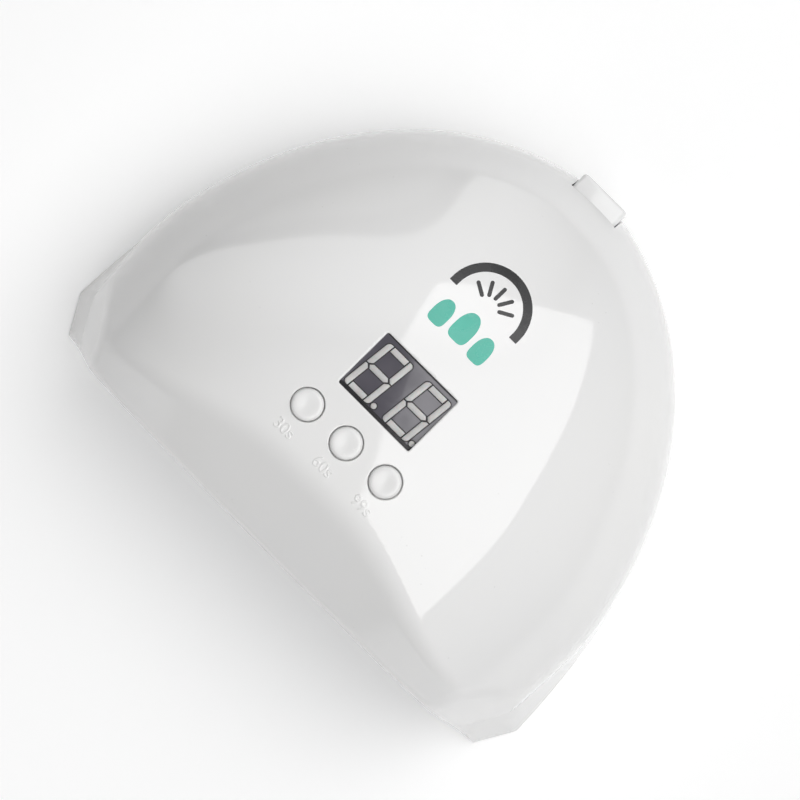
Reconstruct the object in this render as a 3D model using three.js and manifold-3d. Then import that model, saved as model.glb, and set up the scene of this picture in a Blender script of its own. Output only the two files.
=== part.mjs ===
// LED nail lamp: a white domed shell over a faceted reflector, with a two digit display and three
// timer buttons on top. Millimetres, +Z up, hand opening toward -Y, origin under the middle of its box.
import * as THREE from 'three';
import { mergeVertices } from 'three/addons/utils/BufferGeometryUtils.js';
import Module from 'manifold-3d';

const wasm = await Module();
wasm.setup();

// Plan of the shell: |x / planHalf|^planPowerX + ((y - planLine) / planReach)^planPowerY = 1
const planHalf = 81.4;
const planReach = 136.4;
const planLine = -74.4;
const planPowerX = 1.807;
const planPowerY = 2.8;
const frontPlane = -62;
const chamferWide = 6;
const chamferDeep = 10.5;

// Heights of the shell
const footHeight = 2;
const creaseHeight = 16;
const skirtInset = { front: 6, back: 1.2, start: -60, end: -12 };
const crownRise = 52.3;
const archPower = 2.5;
const frontFall = { depth: 3, start: -5, length: 36.3 };
const brow = { crest: -41.2, drop: 18, reach: 46, slope: 0.84, cornerSlope: 0.4 };
const wall = 2.2;
const frontWall = 2.4;
const browWall = 3;

// Hand opening in the front
const opening = { half: 63.5, height: 39.4, powerX: 3.5, powerZ: 2.6 };

// Reflector vault: flat top, slanted facets, upright facets down to the base plate
const vault = { top: 43, shoulder: 25.5, half: 64, foot: 4.5, thickness: 1.2 };
const vaultCorners = [[64, -8], [50, 22], [24, 44]];

// Base plate and what stands on it
const plateThickness = 2.2;
const sheetThickness = 0.6;
const plateLean = 1.2;
const gap = 0.3;
const postRadius = 2.9;
const posts = [
  { x: 69.5, y: -54, top: 14, bore: 12 },
  { x: 40.4, y: 37.9, top: 34, bore: 10 },
];
const footRadius = 5.5;
const feet = [[58, -46], [31, 32]];

// Control panel, in a frame that leans with the shell at the buttons and the display
const panel = { buttonLine: -28.75, displayLine: -11.3, pitch: 13.1, window: [23.6, 16.9] };
const display = { size: [25, 19, 8], recess: 1.95, pocketTop: 1.7 };
const button = { radius: 3.95, flange: 4.9, proud: 0.8, seat: 1.6 };
const board = { size: [60, 44, 1.6], centre: -17 };
const switchSize = [6, 6, 3.5];

// Socket at the back
const socket = {
  height: 24, back: 49, face: 61.2, collar: [14.7, 13.6], jack: [9, 9.4], depth: 13.9,
  sunk: 0.8, boreRadius: 2.9, boreDepth: 10.5,
};

// LEDs, their boards and the hand sensor, on the facets of the vault
const ledHole = 3;
const ledTopBoard = { size: [64, 34], rows: [-11, 11], cols: [-22, 22], row: -14 };
const ledSideBoard = { size: [44, 13], rows: [0], cols: [-15, 0, 15], row: -34 };
const ledBackBoard = { size: [32, 13], rows: [0], cols: [-9, 9] };
const ledBoardThickness = 1.6;
const sensor = { row: -50, body: [7, 6, 4.6] };
const reflectorScrew = { across: 17, row: 19 };

const leadRadius = 0.8;
const screwHole = 1.6;
const pilotRadius = 1.3;
const bossRadius = 3;
const ventSlot = { size: [26, 2.2], across: 26, first: -34, pitch: 6, count: 6 };

const finishes = {
  shellWhite: { color: 0xf1f0ee, roughness: 0.15, metalness: 0 },
  capWhite: { color: 0xf4f3f1, roughness: 0.22, metalness: 0 },
  mirror: { color: 0xd8dade, roughness: 0.12, metalness: 1 },
  baseWhite: { color: 0xe9e8e6, roughness: 0.45, metalness: 0 },
  rubber: { color: 0x2a2a2c, roughness: 0.85, metalness: 0 },
  steel: { color: 0xa8aaae, roughness: 0.32, metalness: 1 },
  displayBlack: { color: 0x3a393d, roughness: 0.2, metalness: 0 },
  boardGreen: { color: 0x1d5a36, roughness: 0.5, metalness: 0 },
  boardWhite: { color: 0xe4e6e3, roughness: 0.5, metalness: 0 },
  blackPlastic: { color: 0x161618, roughness: 0.5, metalness: 0 },
  brass: { color: 0xc9a24e, roughness: 0.3, metalness: 1 },
  lens: { color: 0xdfe4ff, roughness: 0.08, metalness: 0 },
  capacitorBlue: { color: 0x20376e, roughness: 0.35, metalness: 0 },
  connectorCream: { color: 0xe8e0c8, roughness: 0.5, metalness: 0 },
  leadRed: { color: 0xb3262a, roughness: 0.45, metalness: 0 },
};

// Lengths that cutting blocks run past the shell
const clearAbove = 120;
const clearSide = 300;

const lamp = new THREE.Group();

function add(name, geometry, finish, parent = lamp) {
  const mesh = new THREE.Mesh(geometry, new THREE.MeshStandardMaterial(finishes[finish]));
  mesh.name = name;
  parent.add(mesh);
  return mesh;
}

function toSolid(geometry) {
  const bare = geometry.clone();
  bare.deleteAttribute('normal');
  bare.deleteAttribute('uv');
  const merged = mergeVertices(bare, 1e-4);
  return new wasm.Manifold(new wasm.Mesh({
    numProp: 3,
    vertProperties: new Float32Array(merged.attributes.position.array),
    triVerts: new Uint32Array(merged.index.array),
  }));
}

function toGeometry(solid) {
  const mesh = solid.getMesh();
  const geometry = new THREE.BufferGeometry();
  geometry.setAttribute('position', new THREE.BufferAttribute(mesh.vertProperties, 3));
  geometry.setIndex(new THREE.BufferAttribute(mesh.triVerts, 1));
  geometry.computeVertexNormals();
  return geometry;
}

// Closed skin over loops of equal length, each seen anticlockwise from above, from low to high
function loft(loops) {
  const count = loops[0].length;
  const positions = loops.flat().flatMap((p) => [p.x, p.y, p.z]);
  const index = [];
  for (let row = 0; row + 1 < loops.length; row += 1) {
    for (let k = 0; k < count; k += 1) {
      const next = (k + 1) % count;
      const a = row * count + k;
      const b = row * count + next;
      index.push(a, b, b + count, a, b + count, a + count);
    }
  }
  const last = (loops.length - 1) * count;
  for (let k = 1; k + 1 < count; k += 1) {
    index.push(0, k + 1, k);
    index.push(last, last + k, last + k + 1);
  }
  const geometry = new THREE.BufferGeometry();
  geometry.setAttribute('position', new THREE.Float32BufferAttribute(positions, 3));
  geometry.setIndex(index);
  return geometry;
}

function box(size, centre) {
  return new THREE.BoxGeometry(...size).translate(...centre);
}

// Upright cylinder between two heights
function rod(radius, low, high, sides = 16) {
  const geometry = new THREE.CylinderGeometry(radius, radius, high - low, sides);
  return geometry.rotateX(Math.PI / 2).translate(0, 0, (low + high) / 2);
}

// Solid of revolution round Z from [radius, height] points
function turned(points, sides = 20) {
  const profile = points.map(([r, z]) => new THREE.Vector2(r, z));
  return new THREE.LatheGeometry(profile, sides).rotateX(Math.PI / 2);
}

const share = (y, inset) => ((y - planLine) / (planReach - inset)) ** planPowerY;

// How far the skirt leans in at the sides: wide at the front corners, narrow from the middle back
function sideInset(y) {
  const along = THREE.MathUtils.smoothstep(y, skirtInset.start, skirtInset.end);
  return THREE.MathUtils.lerp(skirtInset.front, skirtInset.back, along);
}

// Half width of the dome at its foot, inset from the outer surface
function halfWidth(y, inset) {
  const left = Math.max(0, 1 - share(y, inset + skirtInset.back));
  return (planHalf - inset - sideInset(y)) * left ** (1 / planPowerX);
}

function rise(y, inset) {
  const forward = Math.max(0, (frontFall.start - y) / frontFall.length);
  return crownRise - inset - frontFall.depth * forward ** 2;
}

// Height of the dome: rise times the root of (1 - share) (1 - |x / half width|^archPower)
function domeHeight(x, y, inset = 0) {
  const half = halfWidth(y, inset);
  if (Math.abs(x) >= half) return creaseHeight;
  const level = (1 - share(y, inset + skirtInset.back)) * (1 - (Math.abs(x) / half) ** archPower);
  return creaseHeight + rise(y, inset) * Math.sqrt(level);
}

// Half loop from the plan line round the back, at a share of the skirt's lean (0 at the bottom, 1 at
// the crease) and at one level of the dome (0 at its foot)
function planLoop(inset, lean, level, height, steps) {
  const side = [];
  const reach = planReach - inset - lean * skirtInset.back;
  for (let k = 0; k <= steps; k += 1) {
    const angle = (k / steps) * (Math.PI / 2);
    const along = (1 - level) * Math.sin(angle) ** planPowerY;
    const across = k === steps ? 0 : 1 - level / (1 - along);
    const y = planLine + reach * along ** (1 / planPowerY);
    const half = (planHalf - inset - lean * sideInset(y)) * (1 - along) ** (1 / planPowerX);
    side.push(new THREE.Vector3(half * across ** (1 / archPower), y, height(y)));
  }
  const mirrored = side.slice(0, -1).reverse().map((p) => new THREE.Vector3(-p.x, p.y, p.z));
  return [...side, ...mirrored];
}

// The dome on its flared skirt; the cavity is the same shape, smaller by the wall
function domeBody(inset, low, rings, steps) {
  const loops = [];
  if (low < footHeight) loops.push(planLoop(inset, 0, 0, () => low, steps));
  loops.push(planLoop(inset, 0, 0, () => footHeight, steps));
  for (let k = 0; k < rings; k += 1) {
    const lift = Math.sin((k / rings) * (Math.PI / 2));
    loops.push(planLoop(inset, 1, lift ** 2, (y) => creaseHeight + rise(y, inset) * lift, steps));
  }
  return toSolid(loft(loops));
}

function browCrease(x) {
  const reach = (Math.abs(x) / brow.reach) ** 3;
  return brow.crest - brow.drop * (reach / (1 + reach));
}

// Ruled surface from the arched crease down to the lip of the opening
function browHeight(x, y) {
  const reach = (Math.abs(x) / brow.reach) ** 3;
  const crease = browCrease(x);
  const slope = brow.slope + brow.cornerSlope * (reach / (1 + reach));
  return Math.max(creaseHeight + 1, domeHeight(x, crease) + slope * (y - crease));
}

// Everything above the brow, lowered by drop
function browCutter(drop, stations) {
  const edge = planHalf - skirtInset.front;
  const xs = [-planHalf - 10];
  for (let k = 0; k <= stations; k += 1) xs.push(edge * Math.sin((k / stations - 0.5) * Math.PI));
  xs.push(planHalf + 10);
  const loops = xs.map((x) => {
    const low = frontPlane - 1;
    const high = browCrease(x) + 8;
    return [
      new THREE.Vector3(x, low, browHeight(x, low) - drop),
      new THREE.Vector3(x, high, browHeight(x, high) - drop),
      new THREE.Vector3(x, high, clearAbove),
      new THREE.Vector3(x, low, clearAbove),
    ];
  });
  return toSolid(loft(loops));
}

// Wedge outside one front corner: it leans in with the skirt, then goes straight up
function cornerCutter(side, inset) {
  const along = new THREE.Vector2(-chamferWide, -chamferDeep).normalize();
  const out = new THREE.Vector2(-along.y, along.x);
  const corner = new THREE.Vector2(planHalf, frontPlane + chamferDeep);
  const reach = 40;
  const row = (z, lean) => {
    const base = corner.clone().addScaledVector(out, -inset - lean);
    const near = base.clone().addScaledVector(along, -reach);
    const far = base.clone().addScaledVector(along, reach);
    const outer = [far, near].map((p) => p.clone().addScaledVector(out, reach));
    const placed = [far, ...outer, near].map((p) => new THREE.Vector3(side * p.x, p.y, z));
    return side > 0 ? placed : placed.reverse();
  };
  return toSolid(loft([
    row(-clearAbove, 0),
    row(footHeight, 0),
    row(creaseHeight, skirtInset.front),
    row(clearAbove, skirtInset.front),
  ]));
}

// Everything in front of a plane across the opening
const ahead = (front) => toSolid(box([clearSide, clearSide, clearSide], [0, front - clearSide / 2, 0]));

function trimmed(inset, browDrop, front, low, rings, steps) {
  return domeBody(inset, low, rings, steps)
    .subtract(browCutter(browDrop, 28))
    .subtract(cornerCutter(1, inset))
    .subtract(cornerCutter(-1, inset))
    .subtract(ahead(front));
}

// Arched prism of the hand opening
function openingCutter(front, back) {
  const shape = new THREE.Shape();
  const steps = 28;
  shape.moveTo(-opening.half, -10);
  shape.lineTo(opening.half, -10);
  for (let k = 0; k <= steps; k += 1) {
    const x = opening.half * Math.cos((k / steps) * Math.PI);
    const left = Math.max(0, 1 - (Math.abs(x) / opening.half) ** opening.powerX);
    shape.lineTo(x, footHeight + opening.height * left ** (1 / opening.powerZ));
  }
  const prism = new THREE.ExtrudeGeometry(shape, { depth: back - front, bevelEnabled: false });
  return toSolid(prism.rotateX(Math.PI / 2).translate(0, back, 0));
}

const panelLow = domeHeight(0, panel.buttonLine);
const panelHigh = domeHeight(0, panel.displayLine);
const panelGroup = new THREE.Group();
panelGroup.position.set(0, panel.displayLine, panelHigh);
panelGroup.rotation.x = Math.atan2(panelHigh - panelLow, panel.displayLine - panel.buttonLine);
panelGroup.updateMatrixWorld(true);
lamp.add(panelGroup);
const buttonRow = panel.buttonLine - panel.displayLine;
const boardRow = board.centre - panel.displayLine;
const buttonNames = ['30', '60', '99'];
const buttonPlaces = buttonNames.map((name, k) => ({ name, x: (k - 1) * panel.pitch }));
const buttonSurface = (x) => domeHeight(x, panel.buttonLine) - panelLow;
const boardTop = -display.recess - display.size[2] - gap;
const boardBottom = boardTop - board.size[2];
const boardScrewX = board.size[0] / 2 - 4;

const inPanel = (geometry) => toSolid(geometry.applyMatrix4(panelGroup.matrixWorld));

// Upright and slanted facets, each by its outward direction and distance from the Z axis
function vaultFacets() {
  const facets = [];
  const addPair = (normal, distance) => {
    facets.push({ normal, distance });
    facets.push({ normal: new THREE.Vector2(-normal.x, normal.y), distance });
  };
  addPair(new THREE.Vector2(1, 0), vault.half);
  for (let k = 0; k + 1 < vaultCorners.length; k += 1) {
    const start = new THREE.Vector2(...vaultCorners[k]);
    const along = new THREE.Vector2(...vaultCorners[k + 1]).sub(start).normalize();
    const normal = new THREE.Vector2(along.y, -along.x);
    addPair(normal, normal.dot(start));
  }
  const back = new THREE.Vector2(...vaultCorners[vaultCorners.length - 1]);
  facets.push({ normal: new THREE.Vector2(0, 1), distance: back.y });
  return facets;
}

// Half space as a big block whose top face lies on the plane
function halfSpace(normal, point) {
  const big = 400;
  const block = box([big, big, big], [0, 0, -big / 2]);
  const turn = new THREE.Quaternion().setFromUnitVectors(new THREE.Vector3(0, 0, 1), normal);
  return toSolid(block.applyQuaternion(turn).translate(point.x, point.y, point.z));
}

function vaultBody(shrink, low, front) {
  const length = 200;
  const top = vault.top - shrink;
  let body = toSolid(box([length, length, top - low], [0, front + length / 2, (top + low) / 2]));
  for (const { normal, distance } of vaultFacets()) {
    const upright = new THREE.Vector3(normal.x, normal.y, 0);
    const slant = new THREE.Vector3(normal.x, normal.y, 1).normalize();
    const shoulder = upright.clone().multiplyScalar(distance);
    shoulder.z = vault.shoulder;
    body = body.intersect(halfSpace(upright, upright.clone().multiplyScalar(distance - shrink)));
    body = body.intersect(halfSpace(slant, shoulder.addScaledVector(slant, -shrink)));
  }
  return body;
}

// A facet's own frame: local +Z points out of the vault, local X lies level
function facetFrame(normal, centre) {
  const frame = new THREE.Group();
  const out = normal.clone().normalize();
  const level = out.z > 0.99
    ? new THREE.Vector3(1, 0, 0)
    : new THREE.Vector3(0, 0, 1).cross(out).normalize();
  const up = out.clone().cross(level);
  frame.matrix.makeBasis(level, up, out).setPosition(centre);
  frame.matrix.decompose(frame.position, frame.quaternion, frame.scale);
  frame.updateMatrixWorld(true);
  lamp.add(frame);
  return frame;
}

const slantMiddle = (vault.top - vault.shoulder) / 2;
const slantHeight = vault.shoulder + slantMiddle;
const sideReach = vault.half - slantMiddle;
const backReach = vaultCorners[vaultCorners.length - 1][1] - slantMiddle;
const ledBoards = [
  { name: 'top', normal: [0, 0, 1], centre: [0, ledTopBoard.row, vault.top], ...ledTopBoard },
  { name: 'left', normal: [-1, 0, 1], centre: [-sideReach, ledSideBoard.row, slantHeight], ...ledSideBoard },
  { name: 'right', normal: [1, 0, 1], centre: [sideReach, ledSideBoard.row, slantHeight], ...ledSideBoard },
  { name: 'back', normal: [0, 1, 1], centre: [0, backReach, slantHeight], ...ledBackBoard },
];
for (const item of ledBoards) {
  item.frame = facetFrame(new THREE.Vector3(...item.normal), new THREE.Vector3(...item.centre));
  item.leds = item.rows.flatMap((y) => item.cols.map((x) => [x, y]));
}
const reflectorScrews = [-1, 1].map((side) => [side * reflectorScrew.across, reflectorScrew.row]);

function outerShell() {
  const outer = trimmed(0, 0, frontPlane, footHeight, 14, 22);
  let cavity = trimmed(wall, browWall, frontPlane + frontWall, -2, 9, 16);
  const postFoot = footHeight + plateThickness + gap;
  for (const side of [-1, 1]) {
    for (const { x, y, top } of posts) {
      const post = rod(postRadius, postFoot, top).translate(side * x, y, 0);
      cavity = cavity.subtract(toSolid(post));
    }
    const boss = rod(bossRadius, boardTop + gap, 10).translate(side * boardScrewX, boardRow, 0);
    cavity = cavity.subtract(inPanel(boss));
  }
  for (const [x, y] of reflectorScrews) {
    cavity = cavity.subtract(toSolid(rod(bossRadius, vault.top + gap, 80).translate(x, y, 0)));
  }
  let shell = outer.subtract(cavity);
  shell = shell.subtract(openingCutter(frontPlane - 10, frontPlane + frontWall + 1));
  const [wide, deep] = panel.window;
  shell = shell.subtract(inPanel(box([wide, deep, 20], [0, 0, 0])));
  const [pocketWide, pocketDeep] = display.size.map((size) => size + 1);
  const pocket = box([pocketWide, pocketDeep, 20], [0, 0, -display.pocketTop - 10]);
  shell = shell.subtract(inPanel(pocket));
  for (const { x } of buttonPlaces) {
    const hole = rod(button.radius + gap, -12, 12, 28).translate(x, buttonRow, 0);
    const seatTop = buttonSurface(x) - button.seat;
    const seat = rod(button.flange + 0.7, -14, seatTop, 28).translate(x, buttonRow, 0);
    shell = shell.subtract(inPanel(hole)).subtract(inPanel(seat));
  }
  for (const side of [-1, 1]) {
    for (const { x, y, bore } of posts) {
      shell = shell.subtract(toSolid(rod(screwHole, 0, bore).translate(side * x, y, 0)));
    }
    const pilot = rod(pilotRadius, boardTop - 1, boardTop + 6).translate(side * boardScrewX, boardRow, 0);
    shell = shell.subtract(inPanel(pilot));
  }
  for (const [x, y] of reflectorScrews) {
    const pilot = rod(pilotRadius, vault.top - 1, vault.top + 5.5).translate(x, y, 0);
    shell = shell.subtract(toSolid(pilot));
  }
  const [collarWide, collarHigh] = socket.collar;
  const hatch = box([collarWide + 2 * gap, 30, collarHigh + 2 * gap], [0, 55, socket.height]);
  shell = shell.subtract(toSolid(hatch));
  add('outer_shell', toGeometry(shell), 'shellWhite');
}

function innerReflector() {
  const front = frontPlane + frontWall + gap;
  let liner = vaultBody(0, vault.foot, front);
  liner = liner.subtract(vaultBody(vault.thickness, -10, front - 5));
  for (const item of ledBoards) {
    for (const [x, y] of item.leds) {
      const hole = rod(ledHole, -6, 6).translate(x, y, 0).applyMatrix4(item.frame.matrixWorld);
      liner = liner.subtract(toSolid(hole));
    }
  }
  liner = liner.subtract(toSolid(rod(ledHole, 30, 60).translate(0, sensor.row, 0)));
  for (const [x, y] of reflectorScrews) {
    liner = liner.subtract(toSolid(rod(screwHole, 30, 60).translate(x, y, 0)));
  }
  add('inner_reflector', toGeometry(liner), 'mirror');
}

// Plan loop of the base plate at one height, a little inside the shell's wall
function plateBody(inset, low, high) {
  const steps = 22;
  const loops = [low, high].map((z) => planLoop(inset, 0, 0, () => z, steps));
  return toSolid(loft(loops))
    .subtract(cornerCutter(1, inset))
    .subtract(cornerCutter(-1, inset))
    .subtract(ahead(frontPlane + frontWall + gap));
}

function basePlate() {
  const low = footHeight;
  const high = footHeight + plateThickness;
  let plate = plateBody(wall + gap + plateLean, low, high);
  const tongueWide = 2 * (opening.half - gap);
  const tongue = box([tongueWide, frontWall + 2, plateThickness], [0, frontPlane + 2.6, (low + high) / 2]);
  plate = plate.add(toSolid(tongue));
  const sunk = [
    [0, low - 1], [3.4, low - 1], [3.4, low + 0.3],
    [screwHole, low + 1.9], [screwHole, high + 1], [0, high + 1],
  ];
  for (const side of [-1, 1]) {
    for (let k = 0; k < ventSlot.count; k += 1) {
      const centre = [side * ventSlot.across, ventSlot.first + k * ventSlot.pitch, 0];
      plate = plate.subtract(toSolid(box([...ventSlot.size, 20], centre)));
    }
    for (const { x, y } of posts) {
      plate = plate.subtract(toSolid(turned(sunk).translate(side * x, y, 0)));
    }
  }
  add('base_plate', toGeometry(plate), 'baseWhite');
}

function floorReflector() {
  const low = footHeight + plateThickness + gap;
  let sheet = vaultBody(vault.thickness + 0.4, low, frontPlane + 1.2)
    .intersect(toSolid(box([clearSide, clearSide, sheetThickness], [0, 0, low + sheetThickness / 2])));
  for (const side of [-1, 1]) {
    sheet = sheet.subtract(toSolid(box([40, 20, 20], [side * (opening.half + 19.4), frontPlane, 0])));
  }
  add('floor_reflector', toGeometry(sheet), 'mirror');
}

function screw(headRadius, headHigh, shankRadius, length) {
  return turned([
    [0, 0.5], [0.7, 0.5], [1.1, 0], [headRadius, 0], [shankRadius, headHigh],
    [shankRadius, length - 1], [0, length],
  ], 14);
}

function feetAndScrews() {
  const ends = ['front', 'back'];
  for (const side of [-1, 1]) {
    const hand = side < 0 ? 'left' : 'right';
    feet.forEach(([x, y], k) => {
      const profile = [
        [0, 0], [footRadius - 0.7, 0], [footRadius, 0.5], [footRadius, footHeight], [0, footHeight],
      ];
      add(`rubber_foot_${ends[k]}_${hand}`, turned(profile, 24), 'rubber').position.set(side * x, y, 0);
    });
    posts.forEach(({ x, y, bore }, k) => {
      const part = screw(2.8, 1.6, 1.25, bore - footHeight - 0.6);
      add(`base_screw_${ends[k]}_${hand}`, part, 'steel').position.set(side * x, y, footHeight + 0.2);
    });
  }
}

function displayModule() {
  const [wide, deep, high] = display.size;
  const face = -display.recess;
  add('display_module', box([wide, deep, high], [0, 0, face - high / 2]), 'displayBlack', panelGroup);
}

function controlBoard() {
  const [wide, deep, thick] = board.size;
  let plate = toSolid(box([wide, deep, thick], [0, boardRow, boardTop - thick / 2]));
  for (const side of [-1, 1]) {
    const hole = rod(screwHole, boardBottom - 1, boardTop + 1).translate(side * boardScrewX, boardRow, 0);
    plate = plate.subtract(toSolid(hole));
    const fastener = screw(2.4, 1.4, 1, 6.2);
    const placed = add(side < 0 ? 'board_screw_left' : 'board_screw_right', fastener, 'steel', panelGroup);
    placed.position.set(side * boardScrewX, boardRow, boardBottom - 1.4 - gap);
  }
  add('control_board', toGeometry(plate), 'boardGreen', panelGroup);
  const below = boardBottom - gap;
  add('controller_chip', box([7.6, 5.3, 1.5], [-6, boardRow + 4, below - 0.75]), 'blackPlastic', panelGroup);
  add('lead_connector', box([12, 5.6, 4.2], [2, boardRow + 17, below - 2.1]), 'connectorCream', panelGroup);
  const can = [[0, below - 5.2], [2.6, below - 5.2], [3, below - 4.8], [3, below], [0, below]];
  [13, 20.5].forEach((x, k) => {
    const placed = add(`capacitor_${k + 1}`, turned(can, 18), 'capacitorBlue', panelGroup);
    placed.position.set(x, boardRow + 6, 0);
  });
}

function buttons() {
  const [wide, deep, high] = switchSize;
  const switchTop = boardTop + gap + high;
  const r = button.radius;
  for (const { name, x } of buttonPlaces) {
    const surface = buttonSurface(x);
    const crown = surface + button.proud;
    const flangeTop = surface - button.seat - gap;
    const stem = switchTop + 1.9;
    const cap = turned([
      [0, stem], [1.9, stem], [1.9, flangeTop - 1],
      [button.flange, flangeTop - 1], [button.flange, flangeTop], [r, flangeTop],
      [r, crown - 0.7], [r - 0.35, crown - 0.2], [r - 1, crown], [0, crown - 0.12],
    ], 28);
    add(`button_cap_${name}`, cap, 'capWhite', panelGroup).position.set(x, buttonRow, 0);
    const plunger = rod(1.7, switchTop - 1, stem - gap, 16).translate(x, buttonRow, 0);
    add(`switch_plunger_${name}`, plunger, 'blackPlastic', panelGroup);
    const body = toSolid(box([wide, deep, high], [x, buttonRow, boardTop + gap + high / 2]))
      .subtract(toSolid(rod(2, switchTop - 2, switchTop + 1).translate(x, buttonRow, 0)));
    add(`switch_body_${name}`, toGeometry(body), 'steel', panelGroup);
  }
}

function ledStrips() {
  let number = 0;
  for (const item of ledBoards) {
    const [wide, deep] = item.size;
    let strip = toSolid(box([wide, deep, ledBoardThickness], [0, 0, gap + ledBoardThickness / 2]));
    if (item.name === 'top') {
      strip = strip.subtract(toSolid(box([8, 8, 6], [0, 0, 0])));
    }
    add(`led_board_${item.name}`, toGeometry(strip), 'boardWhite', item.frame);
    for (const [x, y] of item.leds) {
      number += 1;
      const lens = turned([
        [0, -4.9], [1.3, -4.55], [2.15, -3.6], [2.4, -2.4], [2.4, -1.4], [2.65, -1.4], [2.65, 0], [0, 0],
      ], 12);
      add(`uv_led_${String(number).padStart(2, '0')}`, lens, 'lens', item.frame).position.set(x, y, 0);
    }
  }
}

function handSensor() {
  const low = vault.top + gap;
  const eye = toSolid(turned([
    [0, vault.top - 3.4], [1.3, vault.top - 3], [2.1, vault.top - 2.2],
    [2.4, vault.top - 1.2], [2.4, low + 1], [0, low + 1],
  ], 18));
  const body = toSolid(box(sensor.body, [0, 0, low + sensor.body[2] / 2])).add(eye);
  add('hand_sensor', toGeometry(body), 'blackPlastic').position.set(0, sensor.row, 0);
}

function reflectorFasteners() {
  reflectorScrews.forEach(([x, y], k) => {
    const fastener = screw(2.6, 1.4, 1, 6.4);
    const placed = add(k === 0 ? 'reflector_screw_left' : 'reflector_screw_right', fastener, 'steel');
    placed.position.set(x, y, vault.top - vault.thickness - 1.4 - gap);
  });
}

function powerSocket() {
  const [collarWide, collarHigh] = socket.collar;
  const [jackWide, jackHigh] = socket.jack;
  const middle = [0, (socket.back + socket.face) / 2, socket.height];
  const collar = toSolid(box([collarWide, socket.face - socket.back, collarHigh], middle))
    .subtract(toSolid(box([jackWide + 2 * gap, 30, jackHigh + 2 * gap], middle)));
  add('socket_collar', toGeometry(collar), 'shellWhite');
  const face = socket.face - socket.sunk;
  const bottom = face - socket.boreDepth;
  const bore = rod(socket.boreRadius, bottom, face + 1, 24).rotateX(-Math.PI / 2);
  const block = box([jackWide, socket.depth, jackHigh], [0, face - socket.depth / 2, socket.height]);
  const jack = toSolid(block).subtract(toSolid(bore.translate(0, 0, socket.height)));
  add('dc_jack', toGeometry(jack), 'blackPlastic');
  const pin = turned([[0, 0], [1, 0], [1, 8.4], [0.6, 9], [0, 9]], 14).rotateX(-Math.PI / 2);
  add('jack_pin', pin, 'brass').position.set(0, bottom + gap, socket.height);
}

// Round lead along hand placed points
function lead(name, points, finish, steps) {
  const route = new THREE.CatmullRomCurve3(points.map((p) => new THREE.Vector3(...p)));
  const section = new THREE.Shape();
  section.absarc(0, 0, leadRadius, 0, Math.PI * 2);
  const geometry = new THREE.ExtrudeGeometry(section, { steps, extrudePath: route, curveSegments: 4 });
  add(name, geometry, finish);
}

function leads() {
  for (const side of [-1, 1]) {
    lead(side < 0 ? 'lead_left' : 'lead_right', [
      [side * 31, -24, 51.2], [side * 38, -26, 50], [side * 46, -30, 46.5],
      [side * 53, -33, 41.3], [side * 56.5, -34, 37.3],
    ], 'leadRed', 16);
  }
  lead('lead_top', [[-16, 1.5, 50.6], [-18, 0.6, 49], [-18.4, -1, 45.9]], 'leadRed', 8);
  lead('lead_back', [
    [-9, 1, 47.1], [-9, 12, 47.4], [-9, 24, 46.6], [-9, 31.5, 42.3], [-9, 34.5, 39.3],
  ], 'leadRed', 16);
  lead('lead_power', [
    [3, 3.8, 50], [4.5, 10, 48.4], [6, 20, 47], [9, 29, 44.6], [11, 36, 41],
    [11, 41.5, 36], [9.5, 44.9, 30.5], [6, 45.4, 26], [2.6, 45.4, 24],
  ], 'blackPlastic', 30);
}

outerShell();
innerReflector();
basePlate();
floorReflector();
feetAndScrews();
displayModule();
controlBoard();
buttons();
ledStrips();
handSensor();
reflectorFasteners();
powerSocket();
leads();

export default lamp;
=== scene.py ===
import math

import bmesh
import bpy
import numpy as np
from mathutils import Matrix, Vector
from mathutils.geometry import delaunay_2d_cdt


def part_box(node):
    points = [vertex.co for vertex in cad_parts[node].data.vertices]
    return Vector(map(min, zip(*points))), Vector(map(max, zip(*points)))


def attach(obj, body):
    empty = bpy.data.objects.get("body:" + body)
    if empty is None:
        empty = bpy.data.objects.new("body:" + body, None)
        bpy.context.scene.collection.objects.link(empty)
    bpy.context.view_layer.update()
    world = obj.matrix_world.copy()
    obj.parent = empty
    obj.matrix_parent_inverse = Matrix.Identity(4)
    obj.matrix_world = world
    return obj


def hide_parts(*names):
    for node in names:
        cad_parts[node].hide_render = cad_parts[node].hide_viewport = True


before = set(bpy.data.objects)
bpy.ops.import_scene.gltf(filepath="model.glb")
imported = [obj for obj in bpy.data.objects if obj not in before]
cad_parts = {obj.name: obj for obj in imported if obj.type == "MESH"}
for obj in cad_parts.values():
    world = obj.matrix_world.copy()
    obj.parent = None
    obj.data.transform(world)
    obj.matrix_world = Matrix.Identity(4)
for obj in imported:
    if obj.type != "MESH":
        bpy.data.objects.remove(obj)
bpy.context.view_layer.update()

mm = 0.001  # shapes are worked out in millimetres, meshes are in metres
print("frame loaded:", len(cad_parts), "nodes")


def nodeBox(name):
    low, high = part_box(name)
    return np.array(low) / mm, np.array(high) / mm


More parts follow.
